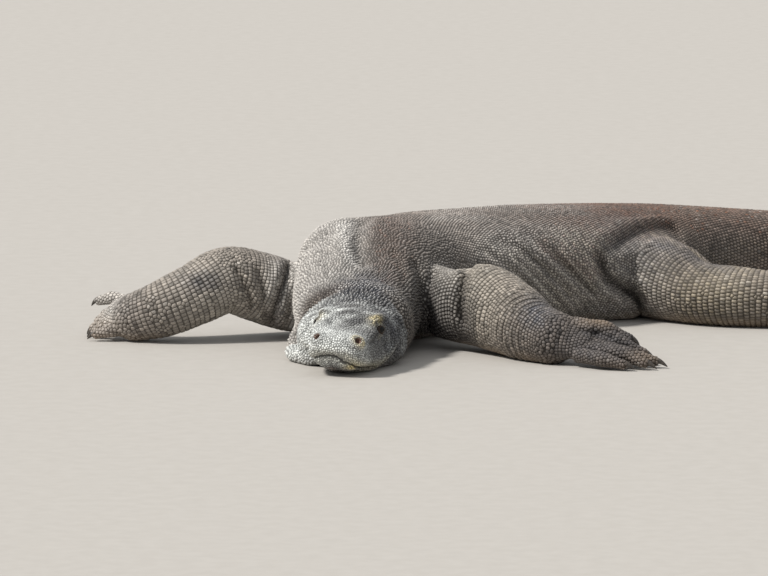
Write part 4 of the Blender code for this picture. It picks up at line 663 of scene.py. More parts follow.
def net_surface(func, low, high, coarse, levels):
    """A closed mesh of quads on the zero of func: cells are kept only near it, halved level by level."""
    low = np.asarray(low, float)
    size = np.ceil((np.asarray(high) - low) / coarse).astype(int)
    grid = np.stack(np.meshgrid(*[np.arange(n) for n in size], indexing="ij"), -1).reshape(-1, 3)
    h = coarse
    for _ in range(levels):
        f = np.empty(len(grid))
        for i in range(0, len(grid), 200000):
            f[i : i + 200000] = func(low + (grid[i : i + 200000] + 0.5) * h)
        grid = grid[np.abs(f) < h * (1.6 if _ < levels - 1 else 3.2)]
        step8 = np.array([[i, j, k] for i in (0, 1) for j in (0, 1) for k in (0, 1)])
        grid = (grid[:, None, :] * 2 + step8[None]).reshape(-1, 3)
        h /= 2
    # corner values
    big = np.int64(1 << 20)
    key = lambda g: (g[:, 0].astype(np.int64) * big + g[:, 1]) * big + g[:, 2]
    step8 = np.array([[i, j, k] for i in (0, 1) for j in (0, 1) for k in (0, 1)])
    corners = (grid[:, None, :] + step8[None]).reshape(-1, 3)
    ck = key(corners)
    uniq, first, inv = np.unique(ck, return_index=True, return_inverse=True)
    pts = low + corners[first] * h
    val = np.empty(len(pts))
    for i in range(0, len(pts), 200000):
        val[i : i + 200000] = func(pts[i : i + 200000])
    inv = inv.reshape(-1, 8)
    cv = val[inv]
    mixed = (cv.min(1) < 0) & (cv.max(1) >= 0)
    cells = grid[mixed]
    inv = inv[mixed]
    cv = cv[mixed]
    base = low + cells * h
    edges = [(a, b) for a in range(8) for b in range(a + 1, 8) if bin(a ^ b).count("1") == 1]
    total = np.zeros((len(cells), 3))
    count = np.zeros(len(cells))
    for a, b in edges:
        va, vb = cv[:, a], cv[:, b]
        cross = (va < 0) != (vb < 0)
        t = np.where(cross, va / np.where(cross, va - vb, 1), 0)
        pa, pb = step8[a] * h, step8[b] * h
        total += np.where(cross[:, None], base + pa + (pb - pa) * t[:, None], 0)
        count += cross
    verts = total / count[:, None]
    order = {int(k): i for i, k in enumerate(())}
    cellkey = key(cells)
    sort = np.argsort(cellkey)
    skey = cellkey[sort]

    def find(g):
        k = key(g)
        i = np.clip(np.searchsorted(skey, k), 0, len(skey) - 1)
        return np.where(skey[i] == k, sort[i], -1)

    quads = []
    for axis in range(3):
        bit = 4 >> axis
        o1, o2 = [a for a in range(3) if a != axis]
        va, vb = cv[:, 0], cv[:, bit]
        cross = (va < 0) != (vb < 0)
        c = cells[cross]
        inside_first = va[cross] < 0
        d1, d2 = np.zeros(3, int), np.zeros(3, int)
        d1[o1], d2[o2] = 1, 1
        q = np.stack([find(c), find(c - d1), find(c - d1 - d2), find(c - d2)], 1)
        ok = (q >= 0).all(1)
        q, s = q[ok], inside_first[ok]
        if axis == 1:
            s = ~s
        q[~s] = q[~s][:, ::-1]
        quads.append(q)
    return verts, np.concatenate(quads)


# ------------------------------------------------------------------ the skin
tubes = make_tubes()
ORDER = [t for members in tubes.values() for t, _ in members]
NAMES = [t.name for t in ORDER]
GROUP = [g for g, members in tubes.items() for _ in members]


def skin_depth(p):
    return body_depth(p, tubes, COAT)[0]


def gradient(p, e=0.0012):
    return unit(np.stack([skin_depth(p + d) - skin_depth(p - d) for d in np.eye(3) * e], 1))


def settle(p, rounds, limit=0.004):
    e = 0.0005
    for _ in range(rounds):
        f = skin_depth(p)
        g = np.stack([(skin_depth(p + d) - skin_depth(p - d)) / (2 * e) for d in np.eye(3) * e], 1)
        p = p - (np.clip(f, -limit, limit) / np.maximum((g * g).sum(1), 0.3))[:, None] * g
    return p


def face_zone(p):
    """How often the skin is halved again: the face twice, the rest of the head and the wrists once."""
    a, b, c = to_head(p)
    head = (a > -0.03) & (a < 0.250) & (np.abs(b) < 0.11) & (p[:, 2] > 0.0025)
    face = head & (a < 0.205) & (p[:, 2] > 0.0025)
    once = head
    for middle, along, half, wave, high in RIPPLES:
        once = once | ((np.linalg.norm(p - np.asarray(middle), axis=1) < 0.055) & (p[:, 2] > 0.004))
    return once, face


low = np.min([t.low for t in ORDER], 0)
high = np.max([t.high for t in ORDER], 0)
low[2] = -0.0213
verts, quads = net_surface(skin_depth, low, high, SKIN_CELL, 2)
bm = bmesh.new()
mesh = bpy.data.meshes.new("skin_base")
mesh.from_pydata(verts.tolist(), [], quads.tolist())
mesh.update()
bm.from_mesh(mesh)
for level in (0, 1):
    co = np.array([f.calc_center_median()[:] for f in bm.faces])
    pick = face_zone(co)[level]
    edges = {e for f, take in zip(bm.faces[:], pick) if take for e in f.edges}
    if edges:
        bmesh.ops.subdivide_edges(bm, edges=list(edges), cuts=1, use_grid_fill=True)
bmesh.ops.triangulate(bm, faces=[f for f in bm.faces if len(f.verts) > 4])
bmesh.ops.recalc_face_normals(bm, faces=bm.faces[:])
bm.to_mesh(mesh)
bm.free()
points = np.empty(len(mesh.vertices) * 3)
mesh.vertices.foreach_get("co", points)
points = settle(points.reshape(-1, 3), 3)
points[:, 2] = np.maximum(points[:, 2], 0.0003)
mesh.vertices.foreach_set("co", points.ravel())
mesh.update()
skin_co = points
skin_faces = [tuple(p.vertices) for p in mesh.polygons]
tree = BVHTree.FromPolygons([Vector(c) for c in skin_co], skin_faces)
print("skin", len(skin_co), sum(len(f) - 2 for f in skin_faces))


# ------------------------------------------------------------------ scales: sizes by place
def scale_size(name, along, round_, at):
    """Pitch along and across, height, and shape (0 plate, 1 keel, 2 cone) for a share of the tube, an angle from its top, and metres along it."""
    top = math.cos(round_)
    below = 1.0 if round_ > 2.45 else 0.0
    if name == "spine":
        if at < 0.27:
            k = min(1.0, max(0.0, (at - 0.10) / 0.14))
            return 0.0046 + 0.0032 * below, 0.0047, 0.0020 - 0.0005 * k, 1.5
        if at < 0.86:
            k = min(1.0, max(0.0, (at - 0.27) / 0.14))
            side = min(1.0, max(0.0, (round_ - 0.6) / 0.5)) * k
            arcs = (1 - side) * min(1.0, 1.8 * max(0.0, 1 - abs(at - 0.49) / 0.18))
            return 0.0048 + 0.0022 * arcs - 0.0004 * side + 0.0050 * below, 0.0049 - 0.0004 * arcs - 0.0004 * side + 0.0014 * below, 0.0015 + 0.0008 * arcs - 0.0006 * side, 1.0 - 0.5 * side
        k = (at - 0.86) / 1.65
        return 0.0074 - 0.0024 * k + 0.0030 * below, 0.0052 - 0.0022 * k, 0.0014 - 0.0006 * k, 1.0
    if name == "arm_right":
        k = min(1.0, max(0.0, (along - 0.35) / 0.40)) * (1 - 0.45 * max(0.0, (along - 0.85) / 0.15))
        return 0.0056 + 0.0018 * k, 0.0054 + 0.0010 * k, 0.0013 + 0.0001 * k, 0.0
    if name == "arm_left":
        k = min(1.0, max(0.0, (along - 0.15) / 0.35)) * (1 - 1.1 * min(1.0, max(0.0, (along - 0.62) / 0.30)))
        return 0.0056 + 0.0010 * k, 0.0054 + 0.0006 * k, 0.0013 + 0.0002 * k, 0.1
    if name in ("leg_left", "leg_right"):
        k = min(1.0, max(0.0, (along - 0.22) / 0.28))
        return 0.0054 + 0.0018 * k, 0.0047 + 0.0009 * k, 0.0012 + 0.0002 * k, 0.1
    if name.endswith("palm"):
        return 0.0052, 0.0048, 0.0011, 0.1
    if "digit" in name:
        return 0.0048, 0.0056 if top > 0.2 else 0.0034, 0.0010, 0.0
    if name == "head":
        return 0.0048, 0.0048, 0.0011, 0.3
    return 0.0052, 0.0048, 0.0012, 0.5


def walk(tube, first=0.0, last=1.0):
    """Rows of scale roots round one tube, anchored along its top, every other row half a scale over."""
    out = []
    s = first * tube.length
    n = 0
    fan = np.linspace(0, math.pi, 65)
    while s < last * tube.length:
        k = min(tube.count - 1, s / tube.gap)
        i = min(int(k), tube.count - 2)
        f = k - i
        c = tube.c[i] * (1 - f) + tube.c[i + 1] * f
        t = unit(tube.t[i] * (1 - f) + tube.t[i + 1] * f)
        u = unit(tube.u[i] * (1 - f) + tube.u[i + 1] * f)
        u = unit(u - (u @ t) * t)
        l = np.cross(t, u)
        share = s / tube.length
        pitch = scale_size(tube.name, share, 0.0, s)[0]
        for sign in (1, -1):
            ring = []
            for q in fan:
                d = u * math.cos(q) + l * math.sin(q) * sign
                hit, normal, face, dist = tree.ray_cast(Vector(c), Vector(d), 0.4)
                ring.append(np.array(hit) if hit is not None else c + d * 0.001)
            ring = np.array(ring)
            step_ = np.linalg.norm(np.diff(ring, axis=0), axis=1)
            gauge = np.array([scale_size(tube.name, share, q, s)[1] for q in (fan[1:] + fan[:-1]) / 2])
            at = np.concatenate([[0], np.cumsum(step_ / gauge)])
            start = 0.5 if n % 2 and tube.name not in ("arm_left", "arm_right") else (0.0 if sign == 1 else 1.0)
            for spot in np.arange(start, at[-1], 1.0):
                j = min(np.searchsorted(at, spot, side="right") - 1, len(fan) - 2)
                h = (spot - at[j]) / max(at[j + 1] - at[j], 1e-9)
                q = fan[j] * (1 - h) + fan[j + 1] * h
                out.append((*(ring[j] * (1 - h) + ring[j + 1] * h), *t, *scale_size(tube.name, share, q, s), n))
        s += pitch
        n += 1
    return out


rng = np.random.default_rng(7)
rows = []
for k, tube in enumerate(ORDER):
    if tube.name in ("spine", "arm_left", "arm_right", "leg_left", "leg_right") or tube.name.endswith("palm") or "digit" in tube.name:
        first = 0.0
        got = np.array(walk(tube, first, 1.0))
        rows.append(np.column_stack([got, np.full(len(got), k)]))
rows = np.concatenate(rows)
root = rows[:, :3]
# the rows sway and break up a little, most on the neck
loose_ = np.where(root[:, 1] + 0.4 * root[:, 0] < 0.50, 1.0, 0.22) * np.array([NAMES[int(k)] == "spine" for k in rows[:, 11]]) + 0.24


def sway(p, k, seed):
    r = np.random.default_rng(seed)
    total = np.zeros((len(p), 3))
    for i in range(8):
        d = unit(r.normal(0, 1, 3))
        total += np.sin(p @ d * k * (0.6 + 1.0 * r.random()) + r.random() * 7)[:, None] * r.normal(0, 1, 3)
    return total / 8


root = root + sway(root, 260.0, 21) * 0.0026 * loose_[:, None] + rng.normal(0, 1, (len(root), 3)) * 0.00042 * loose_[:, None]
root = settle(root, 2)
_, owner = body_depth(root, tubes, COAT)
same = np.array([GROUP[o] if o >= 0 else "" for o in owner]) == np.array([GROUP[int(k)] for k in rows[:, 11]])
kind = np.array([NAMES[o] if o >= 0 else "" for o in owner])
mine = np.array([NAMES[int(k)] for k in rows[:, 11]])
limb = np.array([m in LIMB_ROWS or m == "spine" for m in mine])
ok = same & ((kind == mine) | (limb & ~np.array(["digit" in q or "palm" in q or q == "head" for q in kind])))
a, b, c = to_head(root)
on_head = (a < 0.205) & (a > -0.05) & (np.abs(b) < 0.11)
ok &= ~on_head & (root[:, 2] > 0.0022)
rows, root = rows[ok], root[ok]
print("rows", len(rows))

# fill-ins: the head, the lobes, the joins, finger tips
area = np.empty(len(mesh.polygons))
mesh.polygons.foreach_get("area", area)
middle = np.empty(len(mesh.polygons) * 3)
mesh.polygons.foreach_get("center", middle)
middle = middle.reshape(-1, 3)
a, b, c = to_head(middle)
headish = (a < 0.215) & (a > -0.05) & (np.abs(b) < 0.115)
weight = area * np.where(headish, 3.0, 1.0) * (middle[:, 2] > 0.0015)
draw = 290000
pick = rng.choice(len(weight), draw, p=weight / weight.sum())
verts_of = np.array([f[:3] if rng.random() < 0.5 or len(f) == 3 else (f[0], f[2], f[3]) for f in skin_faces])
tri = skin_co[verts_of[pick]]
r1, r2 = np.sqrt(rng.random(draw)), rng.random(draw)
fill = tri[:, 0] * (1 - r1)[:, None] + tri[:, 1] * (r1 * (1 - r2))[:, None] + tri[:, 2] * (r1 * r2)[:, None]
fill = fill[fill[:, 2] > 0.0022]
_, owner = body_depth(fill, tubes, COAT)


def place_on_tubes(p, owner):
    """Tangent of the owning tube and the scale size there."""
    out = np.zeros((len(p), 8))
    lead = {"flank_lobe": "spine", "scapula_right": "spine", "thigh_lobe": "leg_left", "jowl_right": "head", "throat": "head"}
    for k in set(owner.tolist()):
        m = np.nonzero(owner == k)[0]
        tube = ORDER[k] if k >= 0 else ORDER[0]
        if tube.name in lead:
            tube = next(t for t in ORDER if t.name == lead[tube.name])
        s, x, y, over = tube.along(p[m])
        i = np.minimum(s.astype(int), tube.count - 1)
        out[m, :3] = tube.t[i]
        q = np.arctan2(np.abs(x), y)
        for j, mm in enumerate(m):
            out[mm, 3:7] = scale_size(tube.name, s[j] / (tube.count - 1), q[j], s[j] * tube.gap)
    return out


def head_sizes(p, L, W, H, S):
    """Scales of the head: finest round the eyes, nostrils and lips, larger on the crown and cheeks."""
    a, b, c = to_head(p)
    on = (a < 0.215) & (a > -0.05) & (np.abs(b) < 0.115)
    ab = np.abs(b)
    ex, ey, ez = EYES["left"]
    eye = np.sqrt((a - ex) ** 2 + (ab - ey - 0.008) ** 2 + (c - ez) ** 2)
    nose = np.sqrt((a - NOSTRIL[0]) ** 2 + (ab - NOSTRIL[1]) ** 2 + (c - NOSTRIL[2]) ** 2)
    size = 0.0034 + 0.0010 * step(a, 0.02, 0.12) + 0.0010 * step(a, 0.14, 0.21)
    size = size * (0.62 + 0.38 * step(eye, 0.010, 0.026)) * (0.75 + 0.25 * step(nose, 0.008, 0.02))
    line = c - mouth_line(a, b)
    lip = np.exp(-(((np.abs(line) - 0.004) / 0.004) ** 2)) * (a + 0.35 * ab < 0.15)
    nape = np.exp(-(((a - 0.192) / 0.042) ** 2 + ((b + 0.012) / 0.052) ** 2)) * step(c, 0.06, 0.08)
    high = (0.0007 + 0.0005 * step(a, 0.05, 0.12) + 0.0007 * step(a, 0.14, 0.20)) * (0.7 + 0.3 * step(eye, 0.01, 0.03))
    size = size * (1 - 0.12 * lip) + 0.0012 * nape
    high = high + 0.0012 * nape
    L = np.where(on, size * 1.02, L)
    W = np.where(on, size, W)
    H = np.where(on, high, H)
    S = np.where(on, 0.15 + 1.1 * step(a, 0.14, 0.2) + 0.9 * nape, S)
    return L, W, H, S


fill_info = place_on_tubes(fill, owner)
fill_rows = np.column_stack([fill, fill_info[:, :7], np.full(len(fill), 9), owner])
all_rows = np.concatenate([rows, fill_rows])
all_rows[: len(root), :3] = root
P = all_rows[:, :3]
T = all_rows[:, 3:6]
L, W, H, S = all_rows[:, 6], all_rows[:, 7], all_rows[:, 8], all_rows[:, 9]
L, W, H, S = head_sizes(P, L, W, H, S)
rank = np.where(all_rows[:, 10] == 9, 2, all_rows[:, 10] % 2)
rank[: len(root)] = all_rows[: len(root), 10] % 2
rank[len(root):] = 2
# nothing in the eye openings, the nostrils or deep in the mouth
a, b, c = to_head(P)
ab = np.abs(b)
ex, ey, ez = EYES["left"]
way = unit(np.array(EYE_WAY))
fore = unit(np.array([-way[1], way[0], 0.0]))
over_ = np.cross(fore, way)
over_ = over_ * np.sign(over_[2])
q = np.stack([a - ex, ab - ey, c - ez], 1)
tilt = math.radians(-10)
u0, v0 = q @ fore, q @ over_
u = u0 * math.cos(tilt) - v0 * math.sin(tilt)
v = u0 * math.sin(tilt) + v0 * math.cos(tilt) + np.where(b > 0, 0.0006, 0.0016)
in_eye = (((u - 0.0005) / 0.0094) ** 2 + (v / np.where(b > 0, 0.0060, 0.0035)) ** 2 < 1) & (ab > 0.032) & (np.abs(q @ way - 0.008) < 0.012)
na, nb, nc = NOSTRIL
q = np.stack([a - na, ab - nb, c - nc], 1)
way = unit(np.array([-0.72, 0.55, 0.42]))
deep = q @ way
in_nose = (np.sqrt(np.maximum((q**2).sum(1) - deep**2, 0)) < 0.0046) & (deep > -0.016) & (deep < 0.02) & (ab < 0.10)
in_mouth = (np.abs(c - mouth_line(a, b)) < 0.0014) & (a + 0.35 * ab < 0.155) & (a > -0.03) & (ab < 0.10)
in_ear = (np.sqrt(((a - 0.186) / 0.75) ** 2 + (c - 0.0600) ** 2) < 0.0055) & (ab > 0.05) & (ab < 0.10)
keep = ~(in_eye | in_nose | in_mouth | in_ear)
P, T, L, W, H, S, rank = P[keep], T[keep], L[keep], W[keep], H[keep], S[keep], rank[keep]

# thin out: rows first, then every other row, then fill-ins, each keeping its distance
first = np.nonzero(rank < 2)[0]
kd = KDTree(len(first))
for i in first:
    kd.insert(Vector(P[i]), int(i))
kd.balance()
alone = np.ones(len(P), bool)
for i in np.nonzero(rank == 2)[0]:
    co, j, d = kd.find(Vector(P[i]))
    if d < 0.62 * min(L[i], W[i]):
        alone[i] = False
P, T, L, W, H, S, rank = P[alone], T[alone], L[alone], W[alone], H[alone], S[alone], rank[alone]
N = gradient(P)
D = unit(T - (T * N).sum(1)[:, None] * N)
C = np.cross(N, D)
kd = KDTree(len(P))
for i in range(len(P)):
    kd.insert(Vector(P[i]), i)
kd.balance()
taken = np.zeros(len(P), bool)
order = np.concatenate([np.nonzero(rank == r)[0] for r in (0, 1, 2)])
lp, ld, lc, ll, lw = P.tolist(), D.tolist(), C.tolist(), L.tolist(), W.tolist()
for i in order.tolist():
    p, d, cr, li, wi = lp[i], ld[i], lc[i], ll[i], lw[i]
    clear = True
    for co, j, dist in kd.find_range(Vector(p), max(li, wi) * 0.80):
        if taken[j]:
            q = lp[j]
            x, y, z = q[0] - p[0], q[1] - p[1], q[2] - p[2]
            e = (x * d[0] + y * d[1] + z * d[2]) / li
            f = (x * cr[0] + y * cr[1] + z * cr[2]) / wi
            g = (x * x + y * y + z * z) / (li * wi)
            if e * e + f * f < 0.56 and g < 0.8:
                clear = False
                break
    if clear:
        taken[i] = True
P, N, D, C, L, W, H, S = P[taken], N[taken], D[taken], C[taken], L[taken], W[taken], H[taken], S[taken]
print("scales", len(P))


# ------------------------------------------------------------------ scales: outlines and domes
TURNS = 8
kd = KDTree(len(P))
for i in range(len(P)):
    kd.insert(Vector(P[i]), i)
kd.balance()
near = np.array([[j for _, j, _ in kd.find_n(Vector(p), 15)][1:] for p in P])
V = P[near] - P[:, None]
x = (V * D[:, None]).sum(2) / L[:, None]
y = (V * C[:, None]).sum(2) / W[:, None]
phi = 2 * math.pi * (np.arange(TURNS)[None, :] + np.where(S < 0.2, 0.0, 0.5)[:, None]) / TURNS   # corners for plates, sides for beads
dot = x[:, :, None] * np.cos(phi)[:, None, :] + y[:, :, None] * np.sin(phi)[:, None, :]
reach = np.where(dot > 0.02, (x * x + y * y)[:, :, None] / (2 * np.maximum(dot, 0.02)), 9).min(1)
reach = np.clip(reach, 0.22, 0.70)
reach = np.minimum(reach, 1.18 * reach.mean(1, keepdims=True))
rim = D[:, None] * (np.cos(phi) * reach * L[:, None])[:, :, None] + C[:, None] * (np.sin(phi) * reach * W[:, None])[:, :, None]
wide = np.linalg.norm(rim, axis=2)
rim *= np.clip(1 - np.where(S < 0.2, 0.00015, 0.00020)[:, None] / wide, 0.6, 1)[:, :, None]
lay = skin_depth((P[:, None] + rim).reshape(-1, 3)).reshape(len(P), TURNS)
lay = np.clip(lay, -0.0025, 0.0025)
size = wide.mean(1) / (0.5 * 0.93 * (L + W) / 2)
H = H * np.clip(size, 0.5, 1.15) * (1 + 0.10 * rng.normal(0, 1, len(P)).clip(-2, 2))


def shell(inward, height, lean):
    """One ring of each scale: drawn inward, raised, and leaned back along the lie."""
    out = P[:, None] + rim * inward[:, None, None] - N[:, None] * (lay * inward[:, None] ** 2)[:, :, None]
    return out + N[:, None] * height[:, :, None] + D[:, None] * lean[:, None, None]


one = np.ones((len(P), TURNS))
along = np.abs(np.cos(phi))
keel = np.clip(S, 0, 1)[:, None]
cone = np.clip(S - 1, 0, 1)[:, None]
plate = np.clip(1 - S / 0.35, 0, 1)                      # flat-topped plates of the limbs
ring0 = shell(np.ones(len(P)), -0.00045 * one, np.zeros(len(P)))
mid = 0.84 - 0.08 * keel[:, 0] - 0.10 * cone[:, 0] + 0.05 * plate
high_mid = H[:, None] * (0.60 - 0.14 * keel * (1 - along) - 0.10 * cone + 0.12 * plate[:, None])
ring1 = shell(mid, high_mid, 0.06 * L * S * 0.5)
crown = 0.46 - 0.06 * keel[:, 0] - 0.14 * cone[:, 0] + 0.10 * plate
high_crown = H[:, None] * (0.92 - 0.16 * keel * (1 - along**2) - 0.02 * cone + 0.04 * plate[:, None])
ring2 = shell(crown, high_crown, 0.10 * L * S * 0.6)
ring3 = shell(0.62 - 0.08 * keel[:, 0] - 0.08 * cone[:, 0], H[:, None] * (0.84 - 0.16 * keel * (1 - along**2) - 0.08 * cone), 0.09 * L * S * 0.6)
peak = P + N * (H * (1.0 + 0.10 * S))[:, None] + D * (0.14 * L * S * 0.6)[:, None]


def lead_tube(p):
    _, who = body_depth(p, tubes, COAT)
    lead = {"flank_lobe": "spine", "scapula_right": "spine", "thigh_lobe": "leg_left", "jowl_right": "head", "throat": "head"}
    names = [NAMES[o] if o >= 0 else "spine" for o in who]
    return np.array([NAMES.index(lead.get(n, n)) for n in names])


def chart(p, who):
    """Metres along the leading tube and the turn round it, for the unwrap."""
    out = np.zeros((len(p), 2))
    for k in sorted(set(who.tolist())):
        m = np.nonzero(who == k)[0]
        s, x, y, over = ORDER[k].along(p[m])
        out[m, 0] = s * ORDER[k].gap + over
        out[m, 1] = np.arctan2(x, y) / (2 * math.pi) + 0.5
    return out


who = lead_tube(P)
place = chart(P, who)
REGION = {"head": "head", "spine": "trunk"}
region = np.array([REGION.get(NAMES[k], GROUP[k]) for k in who], dtype=object)
region[(region == "trunk") & (place[:, 0] < 0.24)] = "neck"
region[(region == "trunk") & (place[:, 0] > 0.90)] = "tail"


# ------------------------------------------------------------------ markings
def lump(p, middle, size):
    return np.exp(-(np.linalg.norm((p - np.asarray(middle)) / np.asarray(size), axis=1) ** 2))


def waves(p, k, seed):
    """A soft wandering field between 0 and 1."""
    r = np.random.default_rng(seed)
    total = np.zeros(len(p))
    for i in range(7):
        d = unit(r.normal(0, 1, 3))
        total += np.sin(p @ d * k * (0.7 + 0.9 * r.random()) + r.random() * 7)
    return np.clip(0.5 + total / 7 * 0.9, 0, 1)


def creases(p):
    """How deep in a fold of the skin a place lies."""
    out = np.zeros(len(p))
    for path, wide, deep, swell, facing in FOLDS:
        q = np.asarray(path)
        m = np.nonzero(near_box(p, q.min(0), q.max(0), 0.03))[0]
        if len(m):
            d, t, ahead = to_path(p[m], path, facing)
            fade = step(t, 0.0, 0.15) * (1 - step(t, 0.85, 1.0)) * (1 - step(np.abs(ahead), 0.020, 0.040))
            out[m] = np.maximum(out[m], np.exp(-((d / (wide * 0.85)) ** 2)) * fade * max(0.0, min(1.0, deep / wide - 0.45)))
    return out


def stroke(p, path, wide, facing=FRONT, reach=0.05):
    """A soft band along a path."""
    d, t, ahead = to_path(p, path, facing)
    return np.exp(-((d / wide) ** 2)) * step(t, 0.0, 0.12) * (1 - step(t, 0.88, 1.0)) * (1 - step(np.abs(ahead), reach * 0.6, reach))


def markings(p):
    """pale, dark, rust, blue, yellow, dust, tip: how strong each is at layout points p. Dark also carries painted shade
    in folds, creases, wrinkles, hollows and near the ground, and pale a painted highlight on the neck's ridge.
    """
    a, b, c = to_head(p)
    h = np.stack([a, b, c], 1)
    ab = np.abs(b)
    m = np.stack([a, ab, c], 1)
    on = step(-a, -0.215, -0.185) * (ab < 0.12) * (c < 0.13)
    pale = np.zeros(len(p))
    dark = np.zeros(len(p))
    rust = np.zeros(len(p))
    blue = np.zeros(len(p))
    yellow = np.zeros(len(p))
    tip = np.zeros(len(p))
    line = c - mouth_line(a, b)
    round_ = a + 0.35 * ab
    left = step(b, 0.004, 0.036)                         # the shaded cheek, the animal's left
    # the head is paler and greyer than the trunk, mottled on its crown
    mott = waves(p, 190.0, 3)
    pale += on * (0.31 - 0.10 * left * step(a, 0.03, 0.06)) * step(line, -0.006, 0.006)
    crown = on * step(c, 0.055, 0.070) * step(a, 0.04, 0.08)
    dark += crown * (mott - 0.42).clip(0, 1) * 1.5
    pale += crown * (0.50 - mott).clip(0, 1) * 1.2
    # snout, lips, nostril rims
    front = 1 - step(a, 0.015, 0.060)
    pale += on * front * (0.80 - 0.46 * left) * step(c, 0.012, 0.026)
    blue += on * step(a, 0.02, 0.06) * (1 - step(a, 0.07, 0.11)) * (1 - step(ab, 0.024, 0.040)) * step(c, 0.05, 0.06) * 0.16 * (0.3 + mott)
    pale += on * (1 - step(a, 0.06, 0.15)) * 0.50 * (1 - left) * step(-b, 0.004, 0.026)
    lips = np.exp(-(((line - 0.001) / 0.0085) ** 2)) * (1 - step(round_, 0.10, 0.17))
    pale += on * lips * (0.85 - 0.25 * left)
    yellow += on * lips * (0.16 + 0.30 * left)
    nose = np.linalg.norm(m - np.array([NOSTRIL[0] + 0.001, NOSTRIL[1] + 0.002, NOSTRIL[2] + 0.001]), axis=1)
    rim_ = np.exp(-(((nose - 0.0092) / 0.0030) ** 2))
    pale += on * rim_ * (1.3 - 0.8 * left)
    yellow += on * rim_ * left * 0.8
    hole = 1 - step(nose, 0.0056, 0.0078)
    for mask in (pale, yellow):
        mask *= 1 - 0.92 * hole * on
    rust += on * hole * 1.0
    # brows: whitish on the right, yellow on the left, each broken by darker scales
    rough = waves(p, 420.0, 17)
    pale += on * lump(h, (0.092, -0.0480, 0.0770), (0.026, 0.012, 0.017)) * 2.0 * (0.6 + 0.6 * rough)
    pale += on * lump(h, (0.078, -0.0470, 0.0660), (0.018, 0.010, 0.013)) * 1.5
    yellow += on * lump(h, (0.088, -0.0480, 0.0750), (0.016, 0.011, 0.013)) * 0.75 * (0.5 + 0.7 * rough)
    yellow += on * lump(h, (0.092, 0.0440, 0.0790), (0.019, 0.012, 0.0095)) * 1.5 * (0.35 + 0.9 * rough)
    pale += on * lump(h, (0.092, 0.0440, 0.0780), (0.016, 0.011, 0.009)) * 0.6
    yellow += on * lump(h, (0.008, 0.0260, 0.0150), (0.013, 0.010, 0.0055)) * 1.3
    pale += on * lump(h, (0.008, 0.0260, 0.0150), (0.012, 0.009, 0.0050)) * 0.9
    pale += on * lump(h, (0.084, 0.0500, 0.0560), (0.009, 0.010, 0.0034)) * 0.9
    yellow += on * lump(h, (0.084, 0.0500, 0.0560), (0.009, 0.010, 0.0034)) * 0.5
    pale += on * lump(h, (0.160, 0.0790, 0.0330), (0.012, 0.010, 0.012)) * 0.7
    pale += on * lump(h, (0.135, -0.0740, 0.0560), (0.040, 0.026, 0.034)) * 0.75
    pale += on * lump(h, (0.095, -0.0560, 0.0300), (0.050, 0.022, 0.022)) * 0.30
    # mouth line and the shade under it
    dark += on * np.exp(-((line / 0.0018) ** 2)) * (1 - step(round_, 0.13, 0.16)) * 1.0
    chin = on * (1 - step(line, -0.022, -0.010)) * (1 - step(a, 0.04, 0.08)) * (1 - step(ab, 0.020, 0.036))
    rust += chin * 0.60
    dark += chin * 0.25
    dark += on * lump(h, (0.150, 0.0740, 0.0500), (0.050, 0.020, 0.036)) * 0.14 * (0.4 + mott)
    pale += on * lump(h, (0.172, 0.0760, 0.0420), (0.016, 0.012, 0.030)) * 0.34
    # the cheek in front of and behind the left eye is darker
    dark += on * lump(h, (0.070, 0.0460, 0.0600), (0.032, 0.014, 0.022)) * 0.70
    dark += on * lump(h, (0.130, 0.0640, 0.0500), (0.042, 0.022, 0.034)) * 0.55 * (0.25 + 1.1 * mott)
    blue += on * lump(h, (0.125, 0.0600, 0.0560), (0.050, 0.026, 0.034)) * 0.28
    pale += on * lump(h, (0.118, 0.0580, 0.0400), (0.010, 0.016, 0.020)) * 0.35
    dark += on * lump(h, (0.120, -0.0560, 0.0700), (0.034, 0.016, 0.014)) * 0.45 * (mott > 0.45)
    dark += on * lump(h, (0.076, -0.0440, 0.0560), (0.018, 0.008, 0.005)) * 0.45
    # painted shade along the creases of the head
    for path, wide, deep in CREASES:
        near_ = on > 0
        d, t, _ = to_path(m[near_], path, (0.35, 0.75, 0.55) if np.mean([q[2] for q in path]) > 0.065 else (0.0, 1.0, 0.0))
        dark[near_] += 0.55 * np.exp(-((d / (0.7 * wide)) ** 2)) * step(t, 0.0, 0.2) * (1 - step(t, 0.8, 1.0)) * (ab[near_] > 0.02)
    # nape blue-black with light tips
    nape = lump(h, (0.222, 0.000, 0.116), (0.066, 0.046, 0.050)) * (0.60 + 0.75 * waves(p, 210.0, 41))
    blue += (nape * 1.25).clip(0, 0.95)
    tip += (nape * 2.6).clip(0, 1)
    pale *= 1 - 0.70 * (nape * 1.4).clip(0, 1)
    blue += on * lump(h, (0.135, 0.0480, 0.0800), (0.040, 0.030, 0.030)) * 0.40
    blue += on * lump(h, (0.150, -0.0450, 0.0840), (0.034, 0.024, 0.024)) * 0.30
